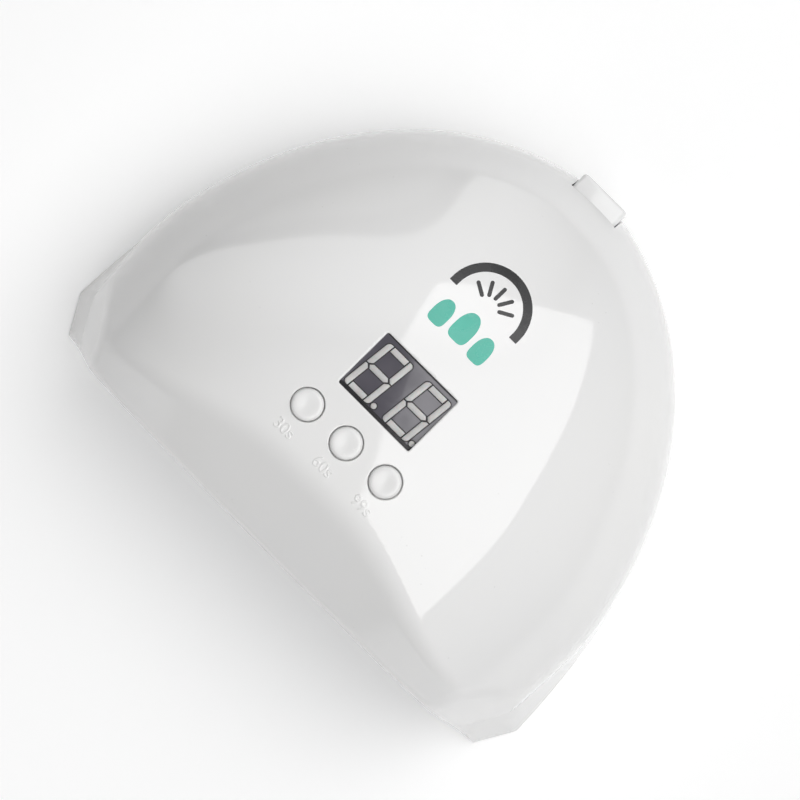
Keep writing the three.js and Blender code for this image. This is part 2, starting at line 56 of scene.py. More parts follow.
def makeMesh(name, parts):
    # parts are (points in mm, triangles, normals per point or None for flat faces);
    # points that meet are merged, so closed seams and poles come out closed
    points = np.concatenate([part[0] for part in parts])
    starts = np.cumsum([0] + [len(part[0]) for part in parts[:-1]])
    faces = np.concatenate([part[1] + start for part, start in zip(parts, starts)])
    corners = []
    for spots, triangles, normals in parts:
        if normals is None:
            a, b, c = (spots[triangles[:, k]] for k in range(3))
            flat = np.cross(b - a, c - a)
            flat /= np.maximum(np.linalg.norm(flat, axis=1, keepdims=True), 1e-12)
            corners.append(np.repeat(flat[:, None, :], 3, axis=1))
        else:
            corners.append(normals[triangles])
    corners = np.concatenate(corners)
    keys = np.round(points * 2000).astype(np.int64)
    _, first, place = np.unique(keys, axis=0, return_index=True, return_inverse=True)
    faces = place.ravel()[faces]
    whole = (faces[:, 0] != faces[:, 1]) & (faces[:, 1] != faces[:, 2]) & (faces[:, 0] != faces[:, 2])
    faces, corners = faces[whole], corners[whole]
    mesh = bpy.data.meshes.new(name)
    mesh.from_pydata((points[first] * mm).tolist(), [], faces.tolist(), shade_flat=False)
    mesh.normals_split_custom_set(corners.reshape(-1, 3).tolist())
    return mesh


def meshPoints(mesh):
    spots = np.zeros(len(mesh.vertices) * 3)
    mesh.vertices.foreach_get("co", spots)
    return spots.reshape(-1, 3)


def inScene(name, data):
    thing = bpy.data.objects.new(name, data)
    bpy.context.scene.collection.objects.link(thing)
    return thing


def addPiece(mesh, finish, body="housing", replaces=()):
    piece = inScene(mesh.name, mesh)
    mesh.materials.append(materials[finish])
    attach(piece, body)
    if replaces:
        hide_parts(*replaces)
    return piece


def gridFaces(rows, columns):
    # two triangles for each cell of a grid of points, row by row
    a = (np.arange(rows - 1)[:, None] * columns + np.arange(columns - 1)).ravel()
    return np.concatenate([np.stack([a, a + 1, a + columns + 1], 1),
                           np.stack([a, a + columns + 1, a + columns], 1)])


def tube(rings):
    # rings of points joined into a wall that closes on itself
    rings = np.stack(rings)
    rings = np.concatenate([rings, rings[:, :1]], axis=1)
    return rings.reshape(-1, 3), gridFaces(*rings.shape[:2])


def turnedPart(profile, sides=64, crease=35):
    # a profile of [radius, height] carried round Z; normals are the profile's own,
    # split where two stretches meet at more than the crease angle
    profile = np.asarray(profile, float)
    step = np.diff(profile, axis=0)
    step /= np.linalg.norm(step, axis=1, keepdims=True)
    outward = np.stack([step[:, 1], -step[:, 0]], 1)
    turn = np.linspace(0, 2 * math.pi, sides + 1)
    ends = [outward[[0]], outward, outward[[-1]]]
    before, after = np.concatenate(ends[:2]), np.concatenate(ends[1:])
    soft = np.sum(before * after, axis=1) > math.cos(math.radians(crease))
    mean = before + after
    mean /= np.maximum(np.linalg.norm(mean, axis=1, keepdims=True), 1e-9)
    low = np.where(soft[:-1, None], mean[:-1], outward)
    high = np.where(soft[1:, None], mean[1:], outward)
    parts = []
    for k in range(len(step)):
        ring = np.stack([profile[k:k + 2], np.stack([low[k], high[k]])])
        spots, normals = (np.stack([r[:, :1] * np.cos(turn), r[:, :1] * np.sin(turn),
                                    r[:, 1:] + 0 * turn], -1).reshape(-1, 3) for r in ring)
        parts.append((spots, gridFaces(2, sides + 1), normals))
    return parts


def movedParts(parts, matrix):
    # the parts carried by a 4x4 matrix in mm
    turn, shift = matrix[:3, :3], matrix[:3, 3]
    return [(spots @ turn.T + shift, faces, None if normals is None else normals @ turn.T)
            for spots, faces, normals in parts]


def insideLoops(spots, loops):
    # even-odd rule: how often a line from each spot crosses the loops
    inside = np.zeros(len(spots), bool)
    x, y = spots[:, :1], spots[:, 1:2]
    for loop in loops:
        ax, ay = loop[:, 0], loop[:, 1]
        bx, by = np.roll(ax, -1), np.roll(ay, -1)
        with np.errstate(divide="ignore", invalid="ignore"):
            crossing = ax + (y - ay) * (bx - ax) / (by - ay)
        hit = ((ay > y) != (by > y)) & (x < crossing)
        inside ^= (hit.sum(axis=1) % 2).astype(bool)
    return inside


def fillFlat(loops, spare):
    # triangles between closed loops of 2D points, with the spare points inside them
    points = np.concatenate([*loops, spare]) if len(spare) else np.concatenate(loops)
    edges, start = [], 0
    for loop in loops:
        ids = start + np.arange(len(loop))
        edges.append(np.stack([ids, np.roll(ids, -1)], 1))
        start += len(loop)
    made = delaunay_2d_cdt(points.tolist(), np.concatenate(edges).tolist(), [], 0, 1e-7)
    source = np.array([ids[0] if ids else -1 for ids in made[3]])
    faces = source[np.array(made[2])]
    onLoops = (faces < start).all(axis=1)
    keep = ~onLoops
    keep[onLoops] = insideLoops(points[faces[onLoops]].mean(axis=1), loops)
    faces = faces[keep & (faces >= 0).all(axis=1)]
    a, b, c = (points[faces[:, k]] for k in range(3))
    area = (b[:, 0] - a[:, 0]) * (c[:, 1] - a[:, 1]) - (c[:, 0] - a[:, 0]) * (b[:, 1] - a[:, 1])
    faces[area < 0] = faces[area < 0][:, ::-1]
    return points, faces[np.abs(area) > 1e-9]


def smoothMin(a, b, blend):
    # the smaller of two values, with the corner between them rounded over the blend
    near = np.maximum(blend - np.abs(a - b), 0)
    return np.minimum(a, b) - near ** 2 / (4 * np.maximum(blend, 1e-9))


def ease(value, start, end):
    # 0 up to the start, 1 from the end on, and 3 t^2 - 2 t^3 between them
    part = np.clip((value - start) / (end - start), 0, 1)
    return part ** 2 * (3 - 2 * part)


def byHalving(low, high, shape, past, rounds=36):
    # the value at which a test turns true, found by halving the range between low and high
    low, high = np.full(shape, float(low)), np.full(shape, float(high))
    for _ in range(rounds):
        middle = (low + high) / 2
        beyond = past(middle)
        low, high = np.where(beyond, low, middle), np.where(beyond, middle, high)
    return (low + high) / 2


def cornerArcs(size, corner, steps):
    # the four round corners of a rectangle, anticlockwise, each an arc of its own
    wide, deep = size[0] / 2 - corner, size[1] / 2 - corner
    arcs = []
    for quarter, (sx, sy) in enumerate(((1, 1), (-1, 1), (-1, -1), (1, -1))):
        turn = np.linspace(0, math.pi / 2, steps) + quarter * math.pi / 2
        arcs.append(np.stack([sx * wide + corner * np.cos(turn), sy * deep + corner * np.sin(turn)], 1))
    return arcs


def edgeDrop(depth, radius):
    # how far a quarter round edge has fallen at a depth in from it
    depth = np.clip(depth, 0, radius)
    return radius - np.sqrt(np.maximum(radius ** 2 - (radius - depth) ** 2, 0))


# the shell, in mm: a height worked out over its plan
shell = {
    "planHalf": 81.4, "planReach": 136.4, "planLine": -74.4,  # outline of the base
    "powerX": 1.807, "powerY": 2.8,
    "frontPlane": -62.0, "chamferWide": 6.0, "chamferDeep": 10.5,  # cut corners
    "chamferRamp": 3.0, "chamferBlend": 4.0, "footRamp": 20.0,
    "footHeight": 2.0, "creaseHeight": 16.0,
    "skirtInset": 6.0, "skirtBack": 1.2, "skirtStart": -60.0, "skirtEnd": -12.0,
    "crownRise": 52.3, "archPower": 2.5,
    "fallDepth": 3.0, "fallStart": -5.0, "fallLength": 36.3,
    "browCrest": -41.2, "browDrop": 18.0, "browReach": 46.0,  # arched crease over the opening
    "browSlope": 0.84, "cornerSlope": 0.4, "browBlend": 2.6,
    "wall": 2.2, "frontWall": 2.4, "browWall": 2.97,
    "lipRadius": 1.3, "lipCorner": 1.5, "lipCornerStart": 48.0, "lipCornerEnd": 64.0,
    "windowEdge": 0.4, "windowCorner": 0.5, "buttonEdge": 0.3,
    "openingHalf": 63.5, "openingHeight": 39.4, "openingX": 3.5, "openingZ": 2.6,
    "pocketWall": 1.2, "seatWall": 1.6, "seatRadius": 5.6, "seatBlend": 0.3,
    "socketGap": 0.3,  # round the socket block, in its hole
}
panel = {
    "buttonLine": -28.75, "displayLine": -11.3, "pitch": 13.1,
    "window": (23.6, 16.9), "pocket": (26.0, 20.0), "holeRadius": 4.25,
}
cutLong = math.hypot(shell["chamferWide"], shell["chamferDeep"])


def planShare(y, inset):
    # share of the outline's width that is gone at y: (way behind the plan line / reach) ^ powerY
    span = np.maximum(y - shell["planLine"], 0) / (shell["planReach"] - inset)
    return span ** shell["powerY"]


def sideInset(y):
    # how far the skirt leans in at the sides: wide at the front corners, narrow further back
    narrow = ease(y, shell["skirtStart"], shell["skirtEnd"])
    return shell["skirtInset"] + (shell["skirtBack"] - shell["skirtInset"]) * narrow


def halfWidth(y, inset, lean=0.0):
    # half the width of the outline, at a share of the skirt's lean (0 at the bottom, 1 at the crease)
    left = np.maximum(1 - planShare(y, inset + lean * shell["skirtBack"]), 0)
    return (shell["planHalf"] - inset - lean * sideInset(y)) * left ** (1 / shell["powerX"])


def domeHeight(x, y, inset=0.0):
    # crease height plus the rise times the root of (1 - share) (1 - |x / half width| ^ arch power);
    # the rise falls off with the square of the way ahead of a line near the middle
    half = np.maximum(halfWidth(y, inset, 1), 1e-6)
    across = np.minimum(np.abs(x) / half, 1)
    level = np.maximum(1 - planShare(y, inset + shell["skirtBack"]), 0) * (1 - across ** shell["archPower"])
    ahead = np.maximum((shell["fallStart"] - y) / shell["fallLength"], 0)
    rise = shell["crownRise"] - inset - shell["fallDepth"] * ahead ** 2
    return shell["creaseHeight"] + rise * np.sqrt(level)


def browCrease(x):
    # where the crease of the brow runs: ahead by drop times r / (1 + r), r = |x / reach| ^ 3
    reach = (np.abs(x) / shell["browReach"]) ** 3
    return shell["browCrest"] - shell["browDrop"] * reach / (1 + reach)


def browHeight(x, y):
    # straight lines from the crease down to the lip, steeper towards the corners
    reach = (np.abs(x) / shell["browReach"]) ** 3
    slope = shell["browSlope"] + shell["cornerSlope"] * reach / (1 + reach)
    crease = browCrease(x)
    height = domeHeight(x, crease) + slope * (y - crease)
    return np.maximum(height, shell["creaseHeight"] + 1)


def skirtDepth(x, y):
    # the inset whose outline runs through each point
    def outside(inset):
        across = (np.abs(x) / (shell["planHalf"] - inset)) ** shell["powerX"]
        return across + planShare(y, inset) > 1

    return byHalving(-4, 16, np.shape(x), outside)


def skirtLean(x, y, inset):
    # the share of the skirt's lean whose outline runs through each point
    def outside(lean):
        half = shell["planHalf"] - inset - lean * sideInset(y)
        share = planShare(y, inset + lean * shell["skirtBack"])
        return (np.abs(x) / half) ** shell["powerX"] + share > 1

    return byHalving(-0.7, 12, np.shape(x), outside)


def chamferDepth(x, y):
    # distance inside the straight cut across each front corner
    out = (shell["planHalf"] - np.abs(x)) * shell["chamferDeep"]
    return (out + (y - shell["frontPlane"] - shell["chamferDeep"]) * shell["chamferWide"]) / cutLong


def chamferX(depth, y):
    # where a line at a depth inside the cut comes to y
    back = (y - shell["frontPlane"] - shell["chamferDeep"]) * shell["chamferWide"]
    return shell["planHalf"] - (depth * cutLong - back) / shell["chamferDeep"]


def edgeDepth(x, y, inset):
    # distance in from the outline: the smaller of those from its round part and from its cuts
    ring, cut = skirtDepth(x, y) - inset, chamferDepth(x, y) - inset
    return smoothMin(ring, cut, np.clip(0.2 + 0.3 * np.minimum(ring, cut), 0.2, 1.4))


def skinHeight(x, y, inset=0.0, browWall=0.0):
    # skirt: a straight lean up to the crease; above it the lowest of the dome, the brow and the
    # steep faces over the cut corners
    base, crease = shell["footHeight"], shell["creaseHeight"]
    cut = chamferDepth(x, y) - inset
    ring, corner = skirtLean(x, y, inset), cut / shell["skirtInset"]
    lean = smoothMin(ring, corner, np.clip(0.03 + 0.3 * np.minimum(ring, corner), 0.03, 0.25))
    brow = browHeight(x, y) - browWall
    upper = smoothMin(domeHeight(x, y, inset), brow,
                      np.minimum(shell["browBlend"], 0.8 * (brow - crease + 0.01)))
    ramp = crease + shell["chamferRamp"] * (cut - shell["skirtInset"])
    upper = smoothMin(upper, ramp, np.clip(0.8 * (ramp - crease), 0.01, shell["chamferBlend"]))
    upper = np.minimum(upper, crease + shell["footRamp"] * sideInset(y) * (lean - 1))
    return np.maximum(np.where(lean < 1, base + (crease - base) * lean, upper), base)


def crownHeight(y):
    return float(domeHeight(np.array(0.0), np.array(float(y))))


# the panel leans with the shell: its slope from the button row to the display row
panelLow, panelHigh = crownHeight(panel["buttonLine"]), crownHeight(panel["displayLine"])
panelTilt = math.atan2(panelHigh - panelLow, panel["displayLine"] - panel["buttonLine"])
panelMatrix = np.array(Matrix.Translation((0, panel["displayLine"], panelHigh))
                       @ Matrix.Rotation(panelTilt, 4, "X"))
buttonX = {name: (k - 1) * panel["pitch"] for k, name in enumerate(("30", "60", "99"))}


def alongPanel(y, line):
    return (y - line) / math.cos(panelTilt)


def windowDepth(x, y, size=None):
    # distance outside a rectangle with small round corners
    corner = shell["windowCorner"]
    wide, deep = size or panel["window"]
    a = np.abs(x) - wide / 2 + corner
    b = np.abs(alongPanel(y, panel["displayLine"])) - deep / 2 + corner
    return np.hypot(np.maximum(a, 0), np.maximum(b, 0)) + np.minimum(np.maximum(a, b), 0) - corner


def buttonDepth(x, y):
    along = alongPanel(y, panel["buttonLine"])
    return np.min([np.hypot(x - place, along) for place in buttonX.values()], axis=0) - panel["holeRadius"]


def outerHeight(x, y):
    # the skin with the lip and the edges of the window and the button holes rolled over
    height = skinHeight(x, y)
    corner = ease(np.abs(x), shell["lipCornerStart"], shell["lipCornerEnd"])
    lip = shell["lipRadius"] + shell["lipCorner"] * corner
    lip = np.minimum(lip, 0.4 * (height - shell["footHeight"]) + 1e-6)
    height = height - edgeDrop(y - shell["frontPlane"], lip)
    height = height - edgeDrop(windowDepth(x, y), shell["windowEdge"])
    height = height - edgeDrop(buttonDepth(x, y), shell["buttonEdge"])
    return np.maximum(height, shell["footHeight"])


def innerHeight(x, y):
    # the same skin, in by the wall; thinner under the display and round the buttons
    blend = shell["seatBlend"]
    skin = skinHeight(x, y)
    height = skinHeight(x, y, shell["wall"], shell["browWall"])
    pocket = np.clip(1 - windowDepth(x, y, panel["pocket"]) / blend, 0, 1)
    height = height + pocket * (skin - shell["pocketWall"] - height)
    seat = np.clip(1 - (buttonDepth(x, y) + panel["holeRadius"] - shell["seatRadius"]) / blend, 0, 1)
    return height + seat * np.maximum(skin - shell["seatWall"] - height, 0)


def slopeNormals(heightOf, x, y, step=0.02):
    # normal of a height field from its slopes on both sides of each point
    across = (heightOf(x + step, y) - heightOf(x - step, y)) / (2 * step)
    along = (heightOf(x, y + step) - heightOf(x, y - step)) / (2 * step)
    normals = np.stack([-across, -along, np.ones_like(across)], -1)
    return normals / np.linalg.norm(normals, axis=-1, keepdims=True)


# rows of points where the surface bends most: shares of the skirt's lean, depths inside the cut
# corners, offsets from the brow's crease, degrees round the lip and steps behind it
rows = {
    "round": 200,  # points on half a row round the shell, at a spacing of 1 mm
    "lean": (0.17, 0.36, 0.56, 0.76, 0.92, 1),
    "level": (3, 32, 2.2),  # the steep foot of the dome: first angle, end and step
    "cut": (1, 2.2, 3.4, 4.6, 5.5, 6, 6.4, 6.9, 7.5, 8.2, 9.0, 10.0), "cutRun": (-4, 12),
    "frontCut": (-1, -0.5, 0, 0.4, 0.9, 1.5, 2.2, 3.0),  # in the front edge, from the skirt's crease
    "crease": (-2.0, -1.3, -0.7, -0.2, 0.2, 0.7, 1.3, 2.0), "creaseHalf": 72,
    "lip": (12, 24, 36, 48, 60, 72, 84), "behindLip": (0.3, 0.7, 1.2, 1.8),
    "gridFrom": 0.5,  # share of the crown's rise above which an even grid is enough
    "skirtCell": 0.04, "lipCell": 0.03,  # closer points than this are thinned out
}


def levelLine(inset, lean, level, steps):
    # half a line of equal lean and level round the shell, from the plan line to the middle of the
    # back: y goes with the sine of the angle, x follows from the level that is left
    angle = np.linspace(0, math.pi / 2, steps + 1)
    along = (1 - level) * np.sin(angle) ** shell["powerY"]
    across = np.clip(1 - level / np.maximum(1 - along, 1e-12), 0, 1)
    across[-1] = 0 if level else across[-1]
    reach = shell["planReach"] - inset - lean * shell["skirtBack"]
    y = shell["planLine"] + reach * along ** (1 / shell["powerY"])
    half = shell["planHalf"] - inset - lean * sideInset(y)
    x = half * np.maximum(1 - along, 0) ** (1 / shell["powerX"])
    x = x * across ** (1 / shell["archPower"]) if level else x
    return np.stack([x, y], 1)


def bothSides(line):
    return np.concatenate([line, line * [-1, 1]])


def baseOutline(inset, front, spacing):
    # from the right front corner along the cut, round the back and to the left front corner
    line = levelLine(inset, 0, 0, int(rows["round"] / spacing))
    line[-1, 0] = 0
    line = line[chamferDepth(line[:, 0], line[:, 1]) > inset + 0.2]
    line = line[line[:, 1] > front + 0.2]
    end = byHalving(front, shell["frontPlane"] + shell["chamferDeep"] + 4, (),
                    lambda y: chamferDepth(halfWidth(y, inset), y) >= inset)
    meet = np.array([halfWidth(end, inset), end])
    share = np.linspace(0, 1, max(3, int(cutLong / spacing)), endpoint=False)[:, None]
    cut = np.array([chamferX(inset, front), front]) * (1 - share) + meet * share
    right = np.concatenate([cut, meet[None], line])
    return np.concatenate([right, right[-2::-1] * [-1, 1]])


def withHeight(spots, heightOf):
    return np.column_stack([spots, heightOf(spots[:, 0], spots[:, 1])])


def windowLoop(size, offset):
    # rectangle with round corners, anticlockwise, grown by an offset, with points along its sides
    arcs = cornerArcs([side + 2 * offset for side in size], shell["windowCorner"] + offset, 6)
    share = np.linspace(0, 1, 20)[1:-1, None]
    loop = []
    for arc, following in zip(arcs, arcs[1:] + arcs[:1]):
        loop += [arc, arc[-1] * (1 - share) + following[0] * share]
    loop = np.concatenate(loop)
    return np.column_stack([loop[:, 0], panel["displayLine"] + loop[:, 1] * math.cos(panelTilt)])


def circleLoop(centreX, radius, count=72):
    turn = np.arange(count) / count * 2 * math.pi
    return np.column_stack([centreX + radius * np.cos(turn),
                            panel["buttonLine"] + radius * np.sin(turn) * math.cos(panelTilt)])


def socketHole(heightOf, steps=15):
    # edge of the hole for the socket, anticlockwise seen from behind: each point lies where the
    # height field comes down to its level
    low, high = nodeBox("socket_collar")
    (left, _, bottom), (right, _, top) = low - shell["socketGap"], high + shell["socketGap"]
    across, up = np.linspace(right, left, steps + 1), np.linspace(bottom, top, steps + 1)
    x = np.concatenate([across[:-1], np.full(steps, left), across[:0:-1], np.full(steps, right)])
    z = np.concatenate([np.full(steps, bottom), up[:-1], np.full(steps, top), up[:0:-1]])
    return np.stack([x, byHalving(30, 61, x.shape, lambda y: heightOf(x, y) <= z), z], 1)


def frontLine(inset, front, spacing):
    # x of the points along the front, closer together over the cut corners
    corner = chamferX(inset, front)
    steep = chamferX(shell["skirtInset"] + inset + np.array(rows["frontCut"]), front)
    even = np.arange(0, corner, spacing)
    even = even[np.abs(even[:, None] - steep).min(axis=1) > 0.3 * spacing]
    half = np.sort(np.concatenate([even, steep]))
    half = half[half < corner - 0.3 * spacing]
    return np.concatenate([-half[:0:-1], half])


def bendRows(inset, front, spacing):
    steps = int(rows["round"] / spacing)
    lines = [levelLine(inset, lean, 0, steps) for lean in rows["lean"]]
    first, end, step = rows["level"]
    turns = np.radians(np.arange(first, end, step * math.sqrt(spacing)))
    lines += [levelLine(inset, 1, math.sin(turn) ** 2, steps) for turn in turns]
    way = np.array([shell["chamferWide"], shell["chamferDeep"]]) / cutLong
    run = np.arange(*rows["cutRun"], 0.9 * spacing)[:, None] * way
    corner = np.array([shell["planHalf"] - shell["chamferWide"], shell["frontPlane"]])
    lines += [corner + (cut + inset) * np.array([-way[1], way[0]]) + run for cut in rows["cut"]]
    lines = [bothSides(line) for line in lines]
    across = np.arange(-rows["creaseHalf"], rows["creaseHalf"], 0.9 * spacing)
    lines += [np.stack([across, browCrease(across) + offset], 1) for offset in rows["crease"]]
    roll = shell["lipRadius"] * (1 - np.cos(np.radians(rows["lip"])))
    roll = np.concatenate([roll, shell["lipRadius"] + np.array(rows["behindLip"])])
    lines += [np.stack([across, np.full(len(across), front + depth)], 1) for depth in roll]
    return np.concatenate(lines)


def surfacePoints(inset, front, spacing):
    # an even grid of points on the crown and rows of points round it, thinned where they meet
    half, back = int(shell["planHalf"]), shell["planLine"] + shell["planReach"] + 2
    x, y = np.meshgrid(np.arange(-half, half + 1, spacing), np.arange(front, back, spacing * 0.87))
    x = x + (np.arange(len(x)) % 2)[:, None] * spacing / 2
    level = (domeHeight(x, y, inset) - shell["creaseHeight"]) / shell["crownRise"]
    grid = np.stack([x, y], -1)[level > rows["gridFrom"]]
    points = np.concatenate([grid, bendRows(inset, front, spacing)])
    depth = edgeDepth(points[:, 0], points[:, 1], inset)
    keep = (depth > 0.25 * spacing) & (points[:, 1] > front + 0.02)
    points, depth = points[keep], depth[keep]
    onSkirt = depth < shell["skirtInset"] + 0.8
    onLip = points[:, 1] < front + shell["lipRadius"]
    cell = np.where(onLip, rows["lipCell"], np.where(onSkirt, rows["skirtCell"], 0.3 * spacing))
    cells = np.column_stack([onSkirt + 2 * onLip, np.round(points / cell[:, None])])
    _, first = np.unique(cells.astype(int), axis=0, return_index=True)
    return points[np.sort(first)]


# the two skins of the shell, and the rings of points round their window and button holes
skins = {
    "outer": {"inset": 0.0, "front": shell["frontPlane"], "spacing": 1.0, "height": outerHeight,
              "window": panel["window"], "windowRings": (0.03, 0.1, 0.22, 0.42),
              "button": panel["holeRadius"], "buttonRings": (0.02, 0.08, 0.17, 0.32), "ringPoints": 72},
    "inner": {"inset": shell["wall"], "front": shell["frontPlane"] + shell["frontWall"],
              "spacing": 2.6, "height": innerHeight,
              "window": panel["pocket"], "windowRings": (0, 0.32),
              "button": shell["seatRadius"], "buttonRings": (0, 0.32), "ringPoints": 40},
}


def skinPart(skin):
    # one skin: the loops of its edge and holes filled with points and lifted to its height
    inset, front, spacing, heightOf = (skin[key] for key in ("inset", "front", "spacing", "height"))
    outline = baseOutline(inset, front, spacing)
    lineX = frontLine(inset, front, spacing)
    lip = withHeight(np.stack([lineX, np.full(len(lineX), front)], 1), heightOf)
    holes = [windowLoop(panel["window"], 0)]
    holes += [circleLoop(place, panel["holeRadius"]) for place in buttonX.values()]
    holes = [withHeight(hole, heightOf) for hole in holes]
    socket = socketHole(heightOf)
    edge = np.concatenate([np.column_stack([outline, np.full(len(outline), shell["footHeight"])]), lip])
    loops = [edge, *holes, socket]

    spare = surfacePoints(inset, front, spacing)
    x, y = spare.T
    height = heightOf(x, y)
    offPanel = (windowDepth(x, y) > 0.5) & (buttonDepth(x, y) > 0.5)
    offSocket = (np.abs(x) > socket[:, 0].max() + 0.2) | (y < socket[:, 1].min() - 0.2)
    offSocket |= (height < socket[:, 2].min() - 0.2) | (height > socket[:, 2].max() + 0.4)
    rings = [windowLoop(skin["window"], grow) for grow in skin["windowRings"]]
    rings += [circleLoop(place, skin["button"] + grow, skin["ringPoints"])
              for place in buttonX.values() for grow in skin["buttonRings"]]
    spare = np.concatenate([spare[offPanel & offSocket], *rings])

    plan, faces = fillFlat([loop[:, :2] for loop in loops], spare)
    heights = np.concatenate([*(loop[:, 2] for loop in loops), heightOf(*spare.T)])
    normals = slopeNormals(heightOf, plan[:, 0], plan[:, 1])
    if inset:
        faces, normals = faces[:, ::-1], -normals
    return (np.column_stack([plan, heights]), faces, normals), outline, lip, [*holes, socket]


def openingArch():
    # hand opening: height goes with (1 - |x / half| ^ openingX) ^ (1 / openingZ)
    half = shell["openingHalf"]
    x = half * np.cos(np.linspace(math.pi, 0, 121))
    x[[0, -1]] = [-half, half]
    left = np.maximum(1 - (np.abs(x) / half) ** shell["openingX"], 0)
    return x, shell["footHeight"] + shell["openingHeight"] * left ** (1 / shell["openingZ"])


def shellParts():
    # both skins, the walls round the hand opening, its arch, the rim underneath and the hole walls
    foot, half = shell["footHeight"], shell["openingHalf"]
    archX, archZ = openingArch()
    made = [skinPart(skin) for skin in skins.values()]
    fronts = [skin["front"] for skin in skins.values()]
    parts = [part for part, *_ in made]
    for (_, outline, lip, _), front in zip(made, fronts):
        corner = outline[0, 0]
        loop = np.concatenate([[[corner, foot]], lip[::-1][:, [0, 2]], [[-corner, foot]],
                               np.stack([archX, archZ], 1)])
        flat, faces = fillFlat([loop], [])
        spots = np.stack([flat[:, 0], np.full(len(flat), front), flat[:, 1]], 1)
        parts.append((spots, faces if front == fronts[0] else faces[:, ::-1], None))
    arch = np.stack([np.stack([archX, np.full(len(archX), front), archZ], 1) for front in fronts])
    parts.append((arch.reshape(-1, 3), gridFaces(2, len(archX))[:, ::-1], None))

    (_, outerLine, _, outerHoles), (_, innerLine, _, innerHoles) = made
    rim = np.concatenate([outerLine, [[-half, fronts[0]], [-half, fronts[1]]],
                          innerLine[::-1], [[half, fronts[1]], [half, fronts[0]]]])
    flat, faces = fillFlat([rim], [])
    parts.append((np.column_stack([flat, np.full(len(flat), foot)]), faces[:, ::-1], None))
    parts += [(*tube(holes), None) for holes in zip(outerHoles, innerHoles)]
    return parts


def makeGroup(name, inputs, outputs):
    group = bpy.data.node_groups.new(name, "ShaderNodeTree")
    for label, kind, value in inputs:
        socket = group.interface.new_socket(label, in_out="INPUT", socket_type=kind)
        if value is not None:
            socket.default_value = value
    for label, kind in outputs:
        group.interface.new_socket(label, in_out="OUTPUT", socket_type=kind)
    return group, group.nodes.new("NodeGroupInput"), group.nodes.new("NodeGroupOutput")


def noiseIn(group, source, scale, detail=3.0, roughness=0.55):
    noise = group.nodes.new("ShaderNodeTexNoise")
    noise.inputs["Detail"].default_value = detail
    noise.inputs["Roughness"].default_value = roughness
    group.links.new(source.outputs["Vector"], noise.inputs["Vector"])
    if isinstance(scale, str):
        group.links.new(source.outputs[scale], noise.inputs["Scale"])
    else:
        noise.inputs["Scale"].default_value = scale
    return noise


def mapRange(group, value, fromLow, fromHigh, toLow, toHigh):
    # the ends of the new range may be numbers or the sockets of group inputs
    node = group.nodes.new("ShaderNodeMapRange")
    node.interpolation_type = "SMOOTHSTEP"
    group.links.new(value, node.inputs["Value"])
    node.inputs["From Min"].default_value = fromLow
    node.inputs["From Max"].default_value = fromHigh
    for socket, end in (("To Min", toLow), ("To Max", toHigh)):
        if isinstance(end, (int, float)):
            node.inputs[socket].default_value = end
        else:
            group.links.new(end, node.inputs[socket])
    return node.outputs["Result"]


def makeSmudges():
    # handling marks: big soft clouds broken up by fine streaks, as a roughness
    group, source, out = makeGroup("handlingMarks", [
        ("Vector", "NodeSocketVector", None), ("Scale", "NodeSocketFloat", 30.0),
        ("Clean", "NodeSocketFloat", 0.08), ("Marked", "NodeSocketFloat", 0.2)],
        [("Roughness", "NodeSocketFloat"), ("Mask", "NodeSocketFloat")])
    clouds = noiseIn(group, source, "Scale", 4.0)
    fine = noiseIn(group, source, 900.0, 2.0)
    mix = group.nodes.new("ShaderNodeMath")
    mix.operation = "MULTIPLY_ADD"
    mix.inputs[1].default_value = 0.25
    group.links.new(fine.outputs["Fac"], mix.inputs[0])
    group.links.new(clouds.outputs["Fac"], mix.inputs[2])
    mask = mapRange(group, mix.outputs[0], 0.5, 0.85, 0.0, 1.0)
    group.links.new(mapRange(group, mask, 0.0, 1.0, source.outputs["Clean"], source.outputs["Marked"]),
                    out.inputs["Roughness"])
    group.links.new(mask, out.inputs["Mask"])
    return group


def makeDrift():
    # slow drift between two close tints
    group, source, out = makeGroup("tintDrift", [
        ("Vector", "NodeSocketVector", None), ("Scale", "NodeSocketFloat", 12.0),
        ("First", "NodeSocketColor", (1, 1, 1, 1)), ("Second", "NodeSocketColor", (1, 1, 1, 1))],
        [("Color", "NodeSocketColor")])
    noise = noiseIn(group, source, "Scale", 2.0)
    blend = group.nodes.new("ShaderNodeMix")
    blend.data_type = "RGBA"
    group.links.new(mapRange(group, noise.outputs["Fac"], 0.3, 0.7, 0.0, 1.0), blend.inputs["Factor"])
    group.links.new(source.outputs["First"], blend.inputs[6])
    group.links.new(source.outputs["Second"], blend.inputs[7])
    group.links.new(blend.outputs[2], out.inputs["Color"])
    return group


def makeSkin():
    # moulded surface: low waves and a fine grain, as a normal
    group, source, out = makeGroup("mouldedSkin", [
        ("Vector", "NodeSocketVector", None), ("Wave Scale", "NodeSocketFloat", 60.0),
        ("Wave Height", "NodeSocketFloat", 0.02), ("Grain Scale", "NodeSocketFloat", 3000.0),
        ("Grain Height", "NodeSocketFloat", 0.02)],
        [("Normal", "NodeSocketVector")])
    normal = None
    for kind, distance in (("Wave", 0.0006), ("Grain", 0.00012)):
        noise = noiseIn(group, source, kind + " Scale", 2.0)
        bump = group.nodes.new("ShaderNodeBump")
        bump.inputs["Distance"].default_value = distance
        group.links.new(source.outputs[kind + " Height"], bump.inputs["Strength"])
        group.links.new(noise.outputs["Fac"], bump.inputs["Height"])
        if normal:
            group.links.new(normal, bump.inputs["Normal"])
        normal = bump.outputs["Normal"]
    group.links.new(normal, out.inputs["Normal"])
    return group


